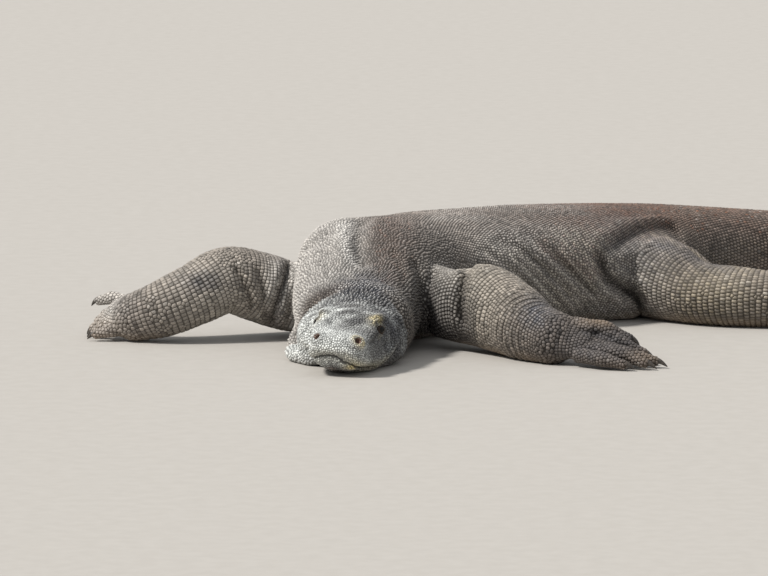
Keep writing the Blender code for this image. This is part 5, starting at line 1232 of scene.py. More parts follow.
    # neck: light beads, rusty towards its right side, with painted shade darkening its right side beyond the ridge
    neck = step(p[:, 1], 0.21, 0.26) * (1 - step(p[:, 1] + 0.5 * p[:, 0], 0.44, 0.60)) * (p[:, 0] < 0.18) * step(p[:, 0], -0.095, -0.060)
    shaded_neck_side = step(p[:, 0], 0.022, 0.060)
    body = 1 - on
    pale += body * neck * (0.66 - 0.56 * shaded_neck_side) * (1 - blue.clip(0, 1))
    # painted highlight: a pale band along the lit edge of the neck's ridge
    pale += body * neck * stroke(p, [(0.006, 0.430, 0.180), (0.008, 0.360, 0.168), (0.014, 0.300, 0.150), (0.030, 0.262, 0.130)], 0.012) * 0.35
    tip += body * neck * 0.45
    rust += body * neck * np.exp(-(((p[:, 0] - 0.080) / 0.036) ** 2)) * 0.50
    dark += body * neck * shaded_neck_side * 0.52
    # painted shade on the neck behind the left jowl: darker, less pale and less rusty
    behind = step(a, 0.206, 0.222) * (1 - step(a, 0.30, 0.40)) * step(b, 0.030, 0.060) * (1 - step(c, 0.090, 0.140)) * (b < 0.16)
    dark += behind * 0.60
    pale *= 1 - 0.8 * behind
    rust *= 1 - 0.6 * behind
    strip = lump(p, (-0.094, 0.405, 0.080), (0.018, 0.050, 0.052))
    pale += strip * 0.62
    lobe = lump(p, (-0.068, 0.172, 0.016), (0.030, 0.080, 0.022))
    pale += lobe * 1.1
    blue += body * neck * np.exp(-(((p[:, 0] + 0.030) / 0.030) ** 2)) * 0.10
    # back: rust over the loins and the root of the tail, rows picked out in white over the shoulders
    spine = ORDER[0]
    s, x, y, over = spine.along(p)
    s = s * spine.gap
    turn = np.arctan2(np.abs(x), y)
    trunk = step(s, 0.27, 0.40)
    back = (1 - step(turn, 0.9, 1.5)) * trunk
    side_ = step(turn, 0.8, 1.3) * trunk * (1 - step(s, 0.9, 1.1))
    broken = waves(p, 60.0, 5)
    rust += back * (0.22 + 0.20 * np.exp(-(((s - 0.78) / 0.17) ** 2))) * (0.4 + 0.8 * broken)
    rust += lump(p, (0.400, 0.680, 0.150), (0.080, 0.120, 0.045)) * 0.95 * (0.4 + 0.9 * broken)
    dark += lump(p, (0.410, 0.690, 0.150), (0.110, 0.140, 0.060)) * 0.38
    rust += stroke(p, [(0.290, 0.560, 0.132), (0.345, 0.560, 0.108), (0.385, 0.590, 0.085), (0.400, 0.600, 0.065)], 0.013) * 0.45
    rust += step(s, 0.85, 1.05) * 0.22 * waves(p, 30.0, 9)
    tip += back * (1 - step(s, 0.55, 0.78)) * 0.80 * (0.4 + 0.9 * waves(p, 35.0, 23))
    dark += back * step(s, 0.34, 0.46) * (1 - step(s, 0.62, 0.80)) * 0.22
    pale += stroke(p, [(0.120, 0.500, 0.168), (0.190, 0.545, 0.156), (0.255, 0.580, 0.146), (0.320, 0.600, 0.128), (0.352, 0.590, 0.110)], 0.012) * 0.38
    pale += back * (1 - step(s, 0.62, 0.80)) * 0.08
    # painted light and shade along the flank's fine diagonal wrinkles: dark streaks with paler, yellowish ones between
    streak = 0.5 + 0.5 * np.sin((p @ np.array([0.72, 0.10, 0.69])) * 2 * math.pi / 0.0125 + 3.0 * waves(p, 30.0, 31))
    dark += side_ * (0.20 * streak * waves(p, 45.0, 33))
    yellow += side_ * 0.14 * (1 - streak) * waves(p, 40.0, 35)
    pale += side_ * (0.24 + 0.20 * (1 - streak)) * (1 - step(p[:, 0], 0.42, 0.56))
    pale += lump(p, (0.190, 0.500, 0.150), (0.110, 0.070, 0.050)) * 0.16
    pale += side_ * step(p[:, 0], 0.52, 0.60) * 0.06
    # limbs
    # painted shade: the body darker low down near the ground
    shade_near_ground = 1 - step(p[:, 2], 0.004, 0.030)
    dark += shade_near_ground * 0.10 * body
    dust = (1 - step(p[:, 2], 0.004, 0.022)) * (0.20 + 0.45 * waves(p, 80.0, 13)) * (1 - 0.75 * on)
    arms = lump(p, (0.190, 0.260, 0.080), (0.105, 0.115, 0.085))
    pale += arms * 0.34 * (1 - on)
    yellow += arms * 0.13 * (1 - on)
    # painted shade in the hollow under the left upper arm, against the chest and ground
    armpit_shade = (lump(p, (0.150, 0.312, 0.018), (0.056, 0.080, 0.040)) * 1.3).clip(0, 1)
    dark += armpit_shade * 1.0
    pale *= 1 - 0.95 * armpit_shade
    yellow *= 1 - 0.9 * armpit_shade
    right_arm = lump(p, (-0.190, 0.405, 0.070), (0.110, 0.120, 0.085)) * (1 - on) * step(-p[:, 0], 0.085, 0.115)
    pale += right_arm * 0.36
    yellow += right_arm * 0.08
    for middle, sizes, k in (((-0.205, 0.380, 0.0935), (0.030, 0.060, 0.014), 0.75), ((0.292, 0.170, 0.072), (0.024, 0.060, 0.020), 0.85), ((0.140, 0.330, 0.060), (0.024, 0.060, 0.040), 0.25)):
        spot = lump(p, middle, sizes)
        blue += spot * k
        dark += spot * k * 0.4
        tip += spot * k * 0.5
        pale *= 1 - 0.6 * spot
    upper_ = lump(p, (0.158, 0.330, 0.105), (0.046, 0.070, 0.036))
    pale += upper_ * 0.22
    left_hand = lump(p, (0.395, 0.120, 0.020), (0.095, 0.075, 0.060)).clip(0, 0.75) / 0.75 * (1 - on)
    pale *= 1 - 0.8 * left_hand
    dark += left_hand * 0.58
    blue += left_hand * 0.22
    dust *= 1 - 0.7 * left_hand
    dust = np.maximum(dust, lump(p, (0.392, 0.146, 0.066), (0.034, 0.020, 0.009)) * 0.75)
    dust = np.maximum(dust, lump(p, (0.452, 0.096, 0.018), (0.034, 0.040, 0.010)) * 0.40)
    right_hand = lump(p, (-0.352, 0.450, 0.040), (0.060, 0.070, 0.050)).clip(0, 0.8) / 0.8
    pale += right_hand * 0.45
    dark *= 1 - 0.6 * right_hand
    dust = np.maximum(dust, right_hand * 0.35 * step(-p[:, 2], -0.045, -0.020))
    for foot in ("leg_left", "leg_right"):
        d = np.linalg.norm(p - np.asarray(FEET[foot]["end"]), axis=1)
        dust = np.maximum(dust, (1 - step(d, 0.04, 0.12)) * 0.30)
    # thigh: small dark scales in front, light plates farther back
    front_ = lump(p, (0.440, 0.640, 0.100), (0.056, 0.085, 0.058))
    dark += front_ * 0.30
    blue += front_ * 0.24
    pale += front_ * 0.12
    pale += lump(p, (0.585, 0.570, 0.062), (0.075, 0.070, 0.030)) * 0.10
    dark += lump(p, (0.600, 0.570, 0.020), (0.130, 0.080, 0.022)) * 0.35
    yellow += lump(p, (0.585, 0.570, 0.055), (0.085, 0.080, 0.040)) * 0.14
    blue += stroke(p, [(0.470, 0.650, 0.125), (0.520, 0.640, 0.112), (0.560, 0.620, 0.095), (0.610, 0.600, 0.085)], 0.012) * 0.40
    # painted shade in the troughs of the stronger ripples across the limbs
    for middle, along_, half, wave, high in RIPPLES:
        if high >= 0.0010 and half < 0.06:
            q = p - np.asarray(middle)
            w = q @ unit(np.asarray(along_, float)) + 0.0030 * np.sin(q @ np.array([41.0, 67.0, 83.0]))
            groove = (1 - np.abs(np.sin(w * math.pi / wave)) ** 0.6) * (1 - step(np.linalg.norm(q, axis=1), half * 0.8, half * 1.5))
            dark += groove * 0.85
            tip *= 1 - groove
            pale *= 1 - 0.5 * groove
    # painted shadow in the gap under the upper finger of the left hand
    for path in ([(0.362, 0.121, 0.051), (0.392, 0.119, 0.044), (0.420, 0.124, 0.033), (0.446, 0.130, 0.024)],):
        dark += stroke(p, path, 0.0035, FRONT, 0.05) * 1.2
    # painted shade down the skin's folds
    fold = creases(p)
    dark += fold * 0.55
    pale *= 1 - 0.55 * fold
    tip *= 1 - 0.6 * fold
    cool = np.maximum(on, 0.5 * nape.clip(0, 1))
    return [q.clip(0, 1) for q in (pale, dark, rust, blue, yellow, dust, tip, cool)]


# ------------------------------------------------------------------ meshes
def build_mesh(name, co, loops, counts, smooth=True):
    me = bpy.data.meshes.new(name)
    me.vertices.add(len(co))
    me.vertices.foreach_set("co", np.ascontiguousarray(co - SHIFT, np.float32).ravel())
    me.loops.add(len(loops))
    me.loops.foreach_set("vertex_index", np.ascontiguousarray(loops, np.int32))
    me.polygons.add(len(counts))
    me.polygons.foreach_set("loop_start", np.concatenate([[0], np.cumsum(counts)[:-1]]).astype(np.int32))
    me.polygons.foreach_set("loop_total", np.asarray(counts, np.int32))
    me.update(calc_edges=True)
    me.polygons.foreach_set("use_smooth", np.full(len(counts), smooth))
    me.update()
    ob = bpy.data.objects.new(name, me)
    bpy.context.scene.collection.objects.link(ob)
    return ob


def paint(ob, first, second, third):
    """The markings as attributes of the mesh: pale, dark, rust, cool; blue, yellow, dust; tone, painted shade and
    highlight, deep.
    """
    for name, cols in (("marks_a", first), ("marks_b", second), ("marks_c", third)):
        layer = ob.data.attributes.new(name, "FLOAT_COLOR", "POINT")
        rgba = np.ones((len(ob.data.vertices), 4), np.float32)
        for i, col in enumerate(cols):
            rgba[:, i] = col
        layer.data.foreach_set("color", rgba.ravel())


def set_uv(ob, uv):
    layer = ob.data.uv_layers.new(name="OFBake")
    loops = np.empty(len(ob.data.loops), np.int32)
    ob.data.loops.foreach_get("vertex_index", loops)
    layer.data.foreach_set("uv", np.ascontiguousarray(uv[loops], np.float32).ravel())


marks = np.stack(markings(P), 1)
speck = rng.random(len(P))
tone = rng.normal(0, 1, len(P)).clip(-2.2, 2.2) * 0.13
# odd single scales stand out: pale ones on neck and limbs, orange ones over the loins
light_spot = (speck < 0.025) & (region != "head")
marks[light_spot, 0] = np.minimum(1, marks[light_spot, 0] + 0.18)
orange = (speck > 0.93) & (marks[:, 2] > 0.25)
marks[orange, 2] = np.minimum(1, marks[orange, 2] + 0.6)
tone += 0.10 * (speck > 0.9) - 0.12 * ((speck > 0.55) & (speck < 0.66))

big = np.isin(region, ["arm_left", "arm_right", "leg_left", "leg_right", "neck", "head", "trunk"])
coat_objects = []


# painted shade and highlight: each scale is painted darker at its root and lighter towards its top, set for each region
DOME_SHADE_LEVELS = {                                                # how the tone climbs from the root to the top of a scale
    "head": (0.08, 0.60, 0.92, 1.0), "neck": (0.14, 0.60, 0.90, 1.0), "trunk": (0.42, 0.74, 0.88, 1.0), "tail": (0.26, 0.66, 0.86, 1.0),
    "leg": (0.34, 0.72, 0.84, 0.96), "arm": (0.20, 0.70, 0.90, 1.0),
}


def scale_piece(name, pick):
    n = len(pick)
    K = TURNS
    where_ = name.split("_")[1]
    fine = where_ not in COARSE
    shade_levels = DOME_SHADE_LEVELS.get(where_, (0.12, 0.64, 0.94, 1.0))
    if fine:
        rings = [ring0[pick], ring1[pick], ring2[pick], peak[pick][:, None]]
        R, inward = 2, (0.5, 0.40, 0.22)
    else:
        rings = [ring0[pick], ring3[pick], peak[pick][:, None]]
        R, inward, shade_levels = 1, (0.5, 0.30), (shade_levels[0], shade_levels[2], shade_levels[3])
    co = np.concatenate(rings, 1)
    co[:, :, 2] = np.maximum(co[:, :, 2], 0.0003)
    per = co.shape[1]
    quad = []
    for r in range(R):
        for j in range(K):
            k = (j + 1) % K
            quad.append([r * K + j, r * K + k, (r + 1) * K + k, (r + 1) * K + j])
    cap = [[R * K + j, R * K + (j + 1) % K, (R + 1) * K] for j in range(K)]
    loop = np.concatenate([np.ravel(quad), np.ravel(cap)])
    count = [4] * len(quad) + [3] * len(cap)
    loops = (np.arange(n)[:, None] * per + loop[None]).ravel()
    ob = build_mesh(name, co.reshape(-1, 3), loops, np.tile(count, n))
    ring_shade_levels = np.concatenate([np.full(K, v) for v in shade_levels[:-1]] + [[shade_levels[-1]]])
    rep = lambda v: np.repeat(v, per)
    mk = marks[pick]
    paint(ob, [rep(mk[:, 0]), rep(mk[:, 1]), rep(mk[:, 2]), rep(mk[:, 7])], [rep(mk[:, 3]), rep(mk[:, 4]), rep(mk[:, 5])],
          [rep(tone[pick] + 0.5), np.tile(ring_shade_levels, n), rep(mk[:, 6])])
    # the unwrap: each scale is a small patch at its root's place
    w, pl = who[pick], place[pick]
    uv = np.zeros((n, 2))
    kinds, tally = np.unique(w, return_counts=True)
    share = np.sqrt(tally) / np.sqrt(tally).sum()
    left_ = 0.0
    for k, part in zip(kinds, share):
        m = w == k
        s = pl[m, 0]
        lo, hi = s.min(), s.max() + 1e-6
        uv[m, 0] = left_ + (0.02 + 0.96 * pl[m, 1]) * part
        uv[m, 1] = 0.01 + 0.98 * (s - lo) / (hi - lo)
        left_ += part
    flat_ = 2 * math.pi * (np.arange(K) + 0.5) / K
    turn_ = np.stack([np.cos(flat_), np.sin(flat_)], 1)
    local = np.concatenate([turn_ * k for k in inward] + [np.zeros((1, 2))])
    set_uv(ob, (uv[:, None] + local[None] * 0.003).reshape(-1, 2))
    coat_objects.append(ob)
    return ob


COARSE = ("trunk", "tail", "leg")
for name in ("head", "neck", "trunk", "tail", "arm_left", "arm_right", "leg_left", "leg_right"):
    pick = np.nonzero(region == name)[0]
    pick = pick[np.argsort(place[pick, 0], kind="stable")]
    full = 4900 if name.split("_")[0] not in COARSE else 8200   # 40 or 24 triangles each, under 200,000 in a piece
    parts_ = max(1, math.ceil(len(pick) / full))
    for i in range(parts_):
        chunk = pick[i * len(pick) // parts_: (i + 1) * len(pick) // parts_]
        if len(chunk):
            scale_piece(f"scales_{name}" + (f"_{i + 1}" if parts_ > 1 else ""), chunk)

# the skin itself
counts = np.array([len(f) for f in skin_faces])
loops = np.concatenate([np.array(f) for f in skin_faces])
skin = build_mesh("skin", skin_co, loops, counts)
mk = markings(skin_co)
a, b, c = to_head(skin_co)
ab = np.abs(b)
m = np.stack([a, ab, c], 1)
# between scales the skin is painted darker as the shade in the gaps; bare skin of lids, nostrils and lips keeps its own
# tone
bare = (np.linalg.norm(m - np.array(EYES["left"]), axis=1) < 0.0150) * 0.55
bare = np.maximum(bare, (1 - step(np.linalg.norm(m - np.array(NOSTRIL), axis=1), 0.0055, 0.0080)) * 0.75)
at_neck = step(skin_co[:, 1], 0.21, 0.26) * (1 - step(skin_co[:, 1] + 0.5 * skin_co[:, 0], 0.44, 0.60))
gap_shade = np.maximum(0.40 + 0.08 * at_neck, bare)
paint(skin, [*mk[:3], mk[7]], mk[3:6], [np.full(len(skin_co), 0.5), gap_shade, np.zeros(len(skin_co))])
sw = lead_tube(skin_co)
sp = chart(skin_co, sw)
start = np.concatenate([[0], np.cumsum(counts)[:-1]])
face_who = sw[loops[start]]
loop_who = np.repeat(face_who, counts)
loop_uv = np.zeros((len(loops), 2))
kinds = sorted(set(face_who.tolist()))
tally = np.array([np.sqrt((face_who == k).sum()) for k in kinds])
share = tally / tally.sum()
left_ = 0.0
for k, part in zip(kinds, share):
    m = np.nonzero(loop_who == k)[0]
    pts = skin_co[loops[m]]
    s, x, y, over = ORDER[k].along(pts)
    s = s * ORDER[k].gap + over
    turn = np.arctan2(x, y) / (2 * math.pi) + 0.5
    # faces over the seam keep together
    face = np.repeat(np.arange(len(counts)), counts)[m]
    lead = np.zeros(len(counts))
    lead[face[::-1]] = turn[::-1]
    turn = turn - np.round(turn - lead[face])
    lo, hi = s.min(), s.max() + 1e-6
    loop_uv[m, 0] = left_ + (0.04 + 0.92 * turn.clip(-0.04, 1.04)) * part
    loop_uv[m, 1] = 0.01 + 0.98 * (s - lo) / (hi - lo)
    left_ += part
layer = skin.data.uv_layers.new(name="OFBake")
layer.data.foreach_set("uv", loop_uv.astype(np.float32).ravel())


# ------------------------------------------------------------------ materials
class Maker:
    """Small helper to lay out one material's nodes."""

    def __init__(self, name):
        self.mat = bpy.data.materials.new(name)
        self.mat.use_nodes = True
        self.tree = self.mat.node_tree
        self.shader = self.tree.nodes["Principled BSDF"]

    def node(self, kind, **props):
        n = self.tree.nodes.new(kind)
        for k, v in props.items():
            setattr(n, k, v)
        return n

    def link(self, a, b):
        self.tree.links.new(a, b)

    def put(self, socket, value):
        if hasattr(value, "is_output"):
            self.link(value, socket)
        else:
            socket.default_value = value

    def math(self, op, a, b=0.0, c=0.0, clamp=False):
        n = self.node("ShaderNodeMath", operation=op, use_clamp=clamp)
        for s, v in zip(n.inputs, (a, b, c)):
            self.put(s, v)
        return n.outputs[0]

    def mix(self, f, a, b, blend="MIX"):
        n = self.node("ShaderNodeMix", data_type="RGBA", blend_type=blend)
        self.put(n.inputs[0], f)
        for s, v in ((n.inputs[6], a), (n.inputs[7], b)):
            if isinstance(v, tuple):
                v = (*v[:3], 1.0)
            self.put(s, v)
        return n.outputs[2]

    def noise(self, where, scale, detail=3.0, rough=0.55):
        n = self.node("ShaderNodeTexNoise")
        self.link(where, n.inputs["Vector"])
        n.inputs["Scale"].default_value = scale
        n.inputs["Detail"].default_value = detail
        n.inputs["Roughness"].default_value = rough
        return n.outputs["Fac"]

    def ramp(self, value, lo, hi, a=0.0, b=1.0):
        n = self.node("ShaderNodeMapRange", interpolation_type="SMOOTHSTEP")
        self.put(n.inputs[0], value)
        for i, v in enumerate((lo, hi, a, b)):
            n.inputs[i + 1].default_value = v
        return n.outputs[0]

    def marks(self, name):
        n = self.node("ShaderNodeAttribute", attribute_name=name)
        s = self.node("ShaderNodeSeparateColor")
        self.link(n.outputs["Color"], s.inputs[0])
        return [*list(s.outputs)[:3], n.outputs["Alpha"]]


BASE_LOW = (0.094, 0.078, 0.067)
BASE_HIGH = (0.185, 0.156, 0.134)
# pale scale tops: partly the scales' own pale tips, partly painted highlight
TIP_AND_HIGHLIGHT = (0.600, 0.580, 0.540)
PALE = (0.600, 0.580, 0.545)
PALE_COOL = (0.575, 0.592, 0.572)
COOL_LOW = (0.075, 0.077, 0.080)
COOL_HIGH = (0.160, 0.162, 0.160)
DARK = (0.040, 0.037, 0.036)
RUST = (0.165, 0.080, 0.049)
BLUE = (0.050, 0.056, 0.075)
YELLOW = (0.560, 0.460, 0.220)
DUST = (0.330, 0.235, 0.150)


def hide(name, coat):
    """Dry scaly hide: the markings, painted shade darkening each scale towards its root and the skin between the
    scales, pale scale tops that are partly their own pale tips and partly painted highlight, fine mottling, grain and a
    faint dry gloss.
    """
    m = Maker(name)
    where = m.node("ShaderNodeTexCoord").outputs["Object"]
    pale, dark, rust, cool = m.marks("marks_a")
    blue, yellow, dust = m.marks("marks_b")[:3]
    tone, painted_shading, deep = m.marks("marks_c")[:3]
    light = m.mix(cool, PALE, PALE_COOL)
    broad = m.noise(where, 16.0, 4.0, 0.6)
    patch = m.noise(where, 75.0, 3.0, 0.6)
    fine = m.noise(where, 620.0, 4.0, 0.7)
    grain = m.noise(where, 2100.0, 2.0, 0.6)
    mixed = m.math("ADD", m.math("MULTIPLY", broad, 0.55), m.math("MULTIPLY", patch, 0.45))
    col = m.mix(m.ramp(mixed, 0.33, 0.67), BASE_LOW, BASE_HIGH)
    col = m.mix(m.math("MULTIPLY", cool, 0.8), col, m.mix(m.ramp(mixed, 0.33, 0.67), COOL_LOW, COOL_HIGH))
    col = m.mix(m.math("MULTIPLY", rust, m.ramp(patch, 0.25, 0.60, 0.35, 0.95)), col, RUST)
    col = m.mix(m.math("MULTIPLY", pale, m.ramp(fine, 0.25, 0.60, 0.55, 1.0)), col, light)
    col = m.mix(m.math("MULTIPLY", yellow, m.ramp(fine, 0.25, 0.60, 0.45, 0.95)), col, YELLOW)
    col = m.mix(m.math("MULTIPLY", dark, 0.75), col, DARK)
    col = m.mix(m.math("MULTIPLY", blue, m.ramp(patch, 0.30, 0.65, 0.95, 0.55)), col, BLUE)
    # pale tops of the scales: partly their own pale tips, partly painted highlight on the top of each dome
    if coat:
        top = m.math("MULTIPLY", deep, m.ramp(painted_shading, 0.86, 1.0))
        col = m.mix(m.math("MULTIPLY", top, 0.85), col, TIP_AND_HIGHLIGHT)
    # each scale has its own tone; on the coat it is painted darker towards the scale's root and lighter at its top as
    # shade and highlight, and on the skin it is painted darker between the scales as shade
    bright = m.math("ADD", m.math("MULTIPLY", m.math("SUBTRACT", tone, 0.5), 1.5), 1.0)
    if coat:
        rim_ = m.ramp(painted_shading, 0.0, 0.90, 0.30, 1.10)
        bright = m.math("MULTIPLY", bright, rim_)
    else:
        bright = m.math("MULTIPLY", bright, painted_shading)
    bright = m.math("MULTIPLY", bright, m.ramp(fine, 0.25, 0.75, 0.82, 1.16))
    grey = m.node("ShaderNodeCombineColor")
    for s in grey.inputs[:3]:
        m.link(bright, s)
    col = m.mix(1.0, col, grey.outputs[0], "MULTIPLY")
    settle_ = m.math("MULTIPLY", dust, m.ramp(fine, 0.30, 0.62, 0.15, 0.85))
    col = m.mix(settle_, col, DUST)
    m.link(col, m.shader.inputs["Base Color"])
    m.link(m.ramp(fine, 0.2, 0.8, 0.50 if coat else 0.70, 0.74 if coat else 0.9), m.shader.inputs["Roughness"])
    m.shader.inputs["Specular IOR Level"].default_value = 0.42 if coat else 0.25
    bump = m.node("ShaderNodeBump")
    bump.inputs["Strength"].default_value = 0.55
    bump.inputs["Distance"].default_value = 0.00035
    m.link(m.math("ADD", m.math("MULTIPLY", fine, 0.7), m.math("MULTIPLY", grain, 0.3)), bump.inputs["Height"])
    m.link(bump.outputs[0], m.shader.inputs["Normal"])
    return m.mat


def horn():
    m = Maker("horn")
    where = m.node("ShaderNodeTexCoord").outputs["Object"]
    streak = m.noise(where, 260.0, 4.0, 0.6)
    fine = m.noise(where, 1500.0, 3.0, 0.6)
    tip = m.marks("marks_c")[1]
    col = m.mix(m.ramp(streak, 0.3, 0.7), (0.022, 0.019, 0.017), (0.075, 0.062, 0.050))
    col = m.mix(m.math("MULTIPLY", m.ramp(tip, 0.0, 0.30, 1.0, 0.0), 0.5), col, (0.150, 0.115, 0.080))
    col = m.mix(m.math("MULTIPLY", m.ramp(fine, 0.55, 0.75), 0.35), col, (0.26, 0.20, 0.14))
    m.link(col, m.shader.inputs["Base Color"])
    m.link(m.ramp(streak, 0.2, 0.8, 0.28, 0.50), m.shader.inputs["Roughness"])
    bump = m.node("ShaderNodeBump")
    bump.inputs["Strength"].default_value = 0.4
    bump.inputs["Distance"].default_value = 0.0003
    m.link(m.math("ADD", streak, m.math("MULTIPLY", fine, 0.3)), bump.inputs["Height"])
    m.link(bump.outputs[0], m.shader.inputs["Normal"])
    return m.mat


def wet_eye():
    """Dark brown iris round a black pupil, greyish white at the edge, under a wet surface."""
    m = Maker("eye")
    where = m.node("ShaderNodeTexCoord").outputs["Object"]
    out, turn = m.marks("marks_c")[1:3]
    streak = m.noise(where, 900.0, 3.0, 0.6)
    ring = m.math("ADD", out, m.math("MULTIPLY", m.math("SUBTRACT", streak, 0.5), 0.05))
    col = m.mix(m.ramp(ring, 0.24, 0.30), (0.003, 0.003, 0.003), (0.030, 0.017, 0.009))
    col = m.mix(m.ramp(ring, 0.40, 0.54), col, (0.010, 0.007, 0.005))
    col = m.mix(m.ramp(ring, 0.74, 0.82), col, (0.16, 0.14, 0.12))
    m.link(col, m.shader.inputs["Base Color"])
    m.link(m.ramp(streak, 0.2, 0.8, 0.06, 0.12), m.shader.inputs["Roughness"])
    m.shader.inputs["Specular IOR Level"].default_value = 0.22
    bump = m.node("ShaderNodeBump")
    bump.inputs["Strength"].default_value = 0.05
    bump.inputs["Distance"].default_value = 0.0001
    m.link(streak, bump.inputs["Height"])
    m.link(bump.outputs[0], m.shader.inputs["Normal"])
    return m.mat


def matte_floor():
    m = Maker("floor")
    where = m.node("ShaderNodeTexCoord").outputs["Object"]
    fine = m.noise(where, 40.0, 4.0, 0.5)
    col = m.mix(m.ramp(fine, 0.2, 0.8), (0.400, 0.380, 0.350), (0.425, 0.405, 0.375))
    m.link(col, m.shader.inputs["Base Color"])
    m.shader.inputs["Roughness"].default_value = 0.9
    return m.mat


coat_mat = hide("scale_hide", True)
skin_mat = hide("skin_hide", False)
horn_mat = horn()
eye_mat = wet_eye()
for ob in coat_objects:
    ob.data.materials.append(coat_mat)
skin.data.materials.append(skin_mat)

# ------------------------------------------------------------------ eyes
eye_objects = []
for side in ("left", "right"):
    a, b, c = EYES[side]
    spot = head_point(a, b, c)
    bm = bmesh.new()
    bmesh.ops.create_uvsphere(bm, u_segments=48, v_segments=32, radius=EYE_RADIUS)
    out = unit(H_SIDE * np.sign(b) * EYE_WAY[1] + H_BACK * EYE_WAY[0] + H_UP * EYE_WAY[2])
    turn = Vector(tuple(out)).to_track_quat("Z", "Y").to_matrix().to_4x4()
    gaze = np.array([math.acos(max(-1, min(1, v.co.z / EYE_RADIUS))) for v in bm.verts])
    for v in bm.verts:                                   # the cornea stands a little proud
        q = math.acos(max(-1, min(1, v.co.z / EYE_RADIUS)))
        v.co *= 1 + 0.035 * math.exp(-((q / 0.55) ** 4))
    turn.translation = Vector(tuple(spot - SHIFT))
    bmesh.ops.transform(bm, matrix=turn, verts=bm.verts[:])
    me = bpy.data.meshes.new(f"eyeball_{side}")
    bm.to_mesh(me)
    bm.free()
    for p in me.polygons:
        p.use_smooth = True
    ob = bpy.data.objects.new(f"eyeball_{side}", me)
    bpy.context.scene.collection.objects.link(ob)
    zero = np.zeros(len(gaze))
    paint(ob, [zero] * 3, [zero] * 3, [zero, gaze / 1.6, zero])
    me.materials.append(eye_mat)
    eye_objects.append((ob, f"eye_{side}"))


# ------------------------------------------------------------------ claws
def claw_rings(root, ahead, down, length, radius, bend, steps, turns):
    """Rings along one curved claw: round above, grooved beneath, drawn out to a blunt point."""
    side = np.cross(ahead, down)
    rings, shares = [], []
    place_, aim = root - ahead * 0.0045, ahead.copy()
    for i in range(steps + 1):
        t = i / steps
        r = radius * (1 - t) ** 0.75 * (0.85 + 0.15 * min(1.0, t * 6)) + 0.0004 * (1 - 0.4 * t)
        over = unit(np.cross(aim, side))
        ring = []
        for j in range(turns):
            q = 2 * math.pi * j / turns
            groove = 1 - 0.16 * math.exp(-(((q - 1.5 * math.pi) / 0.45) ** 2)) * (1 - t)
            worn = 1 + 0.025 * math.sin(9 * t + 3 * q)
            ring.append(place_ + (side * math.cos(q) * 0.74 + over * math.sin(q)) * r * groove * worn)
        rings.append(ring)
        shares.append(t)
        hop = (length + 0.0045) / steps
        turn_ = bend / steps
        aim = unit(aim * math.cos(turn_) + down * math.sin(turn_))
        place_ = place_ + aim * hop
    return rings, shares


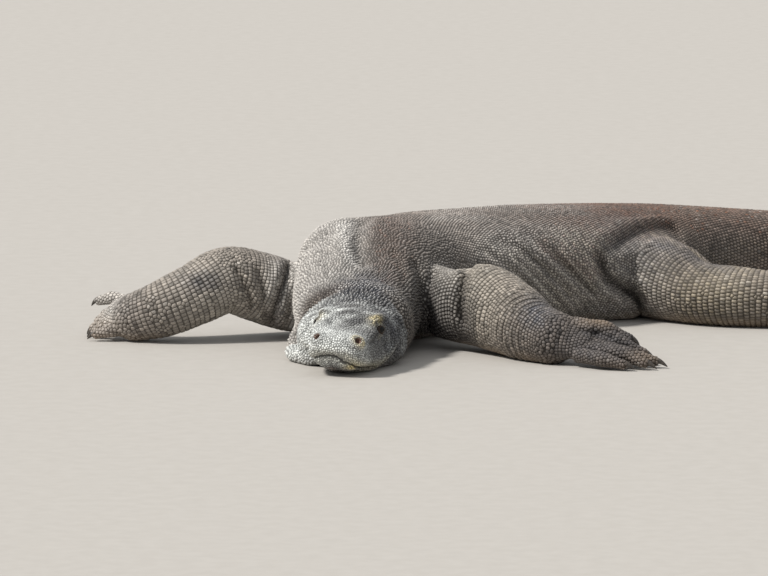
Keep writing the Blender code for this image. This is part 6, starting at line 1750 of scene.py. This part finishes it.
claw_objects = []
for foot in LIMB_ROWS:
    fore = foot.startswith("arm")
    for k in range(5):
        tube = next(t for t, _ in tubes[foot] if t.name == f"{foot}_digit_{k + 1}")
        tip, ahead = tube.c[-1], tube.t[-1]
        level = unit(np.array([ahead[0], ahead[1], 0.0]))
        rise_ = min(0.0, ahead[2])
        ahead = unit(level + np.array([0, 0, rise_ * 0.6]))
        spot = tip + ahead * (tube.w[-1] * 0.45) + np.array([0, 0, tube.w[-1] * 0.25])
        length = CLAW_LENGTH[foot] * (0.85 if k == 0 else 1.0)
        drop = spot[2] - 0.0035
        bend = min(1.05, max(0.10, drop / length * 1.4))
        down = unit(np.array([0, 0, -1.0]) + ahead * ahead[2])
        rings, shares = claw_rings(spot, ahead, down, length, tube.w[-1] * 0.62, bend, 16, 18)
        K = 18
        co = np.concatenate([np.array(r) for r in rings])
        loop, count = [], []
        for r in range(16):
            for j in range(K):
                n = (j + 1) % K
                loop += [r * K + j, r * K + n, (r + 1) * K + n, (r + 1) * K + j]
                count.append(4)
        loop += list(range(K))[::-1]
        count.append(K)
        loop += list(range(16 * K, 17 * K))
        count.append(K)
        co[:, 2] = np.maximum(co[:, 2], 0.0004)
        ob = build_mesh(f"talon_{foot}_{k + 1}", co, loop, count)
        bm = bmesh.new()
        bm.from_mesh(ob.data)
        bmesh.ops.recalc_face_normals(bm, faces=bm.faces[:])
        bm.to_mesh(ob.data)
        bm.free()
        zero = np.zeros(len(co))
        paint(ob, [zero] * 3, [zero] * 3, [zero, np.repeat(shares, K), zero])
        ob.data.materials.append(horn_mat)
        claw_objects.append((ob, f"claw_{foot}_{k + 1}"))

# ------------------------------------------------------------------ what stands for what
flesh = [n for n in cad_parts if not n.startswith(("eye_", "claw_"))]
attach(skin, "root")
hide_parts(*flesh)
for ob in coat_objects:
    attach(ob, "root")
for ob, node in eye_objects:
    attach(ob, "root")
    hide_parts(node)
for ob, node in claw_objects:
    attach(ob, "root")
    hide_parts(node)

# ------------------------------------------------------------------ floor, light, camera
bpy.ops.mesh.primitive_plane_add(size=60, location=(0, 0, 0))
floor = bpy.context.object
floor.name = "floor"
floor.data.materials.append(matte_floor())

world = bpy.data.worlds.new("studio")
bpy.context.scene.world = world
world.use_nodes = True
world.node_tree.nodes["Background"].inputs[0].default_value = (0.95, 0.97, 1.0, 1)
world.node_tree.nodes["Background"].inputs[1].default_value = 0.62
key = bpy.data.lights.new("key", "SUN")
key.energy = 4.0
key.angle = 0.16
key.color = (1.0, 0.965, 0.92)
key_ob = bpy.data.objects.new("key", key)
bpy.context.scene.collection.objects.link(key_ob)
key_ob.rotation_euler = Vector((-0.62, -0.20, 0.78)).to_track_quat("Z", "Y").to_euler()

camera = bpy.data.cameras.new("camera")
camera.sensor_width = 36
camera.lens = 6900 / 768 * 36
camera.clip_end = 200
camera_ob = bpy.data.objects.new("camera", camera)
bpy.context.scene.collection.objects.link(camera_ob)
camera_ob.location = Vector(tuple(np.array([0.067, -9.909, 1.347]) - SHIFT))
camera_ob.rotation_euler = (math.radians(83), 0, 0)
bpy.context.scene.camera = camera_ob

bpy.context.scene.view_settings.view_transform = "Standard"
bpy.context.view_layer.update()
print("triangles", {ob.name: sum(len(p.vertices) - 2 for p in ob.data.polygons) for ob in coat_objects + [skin]})
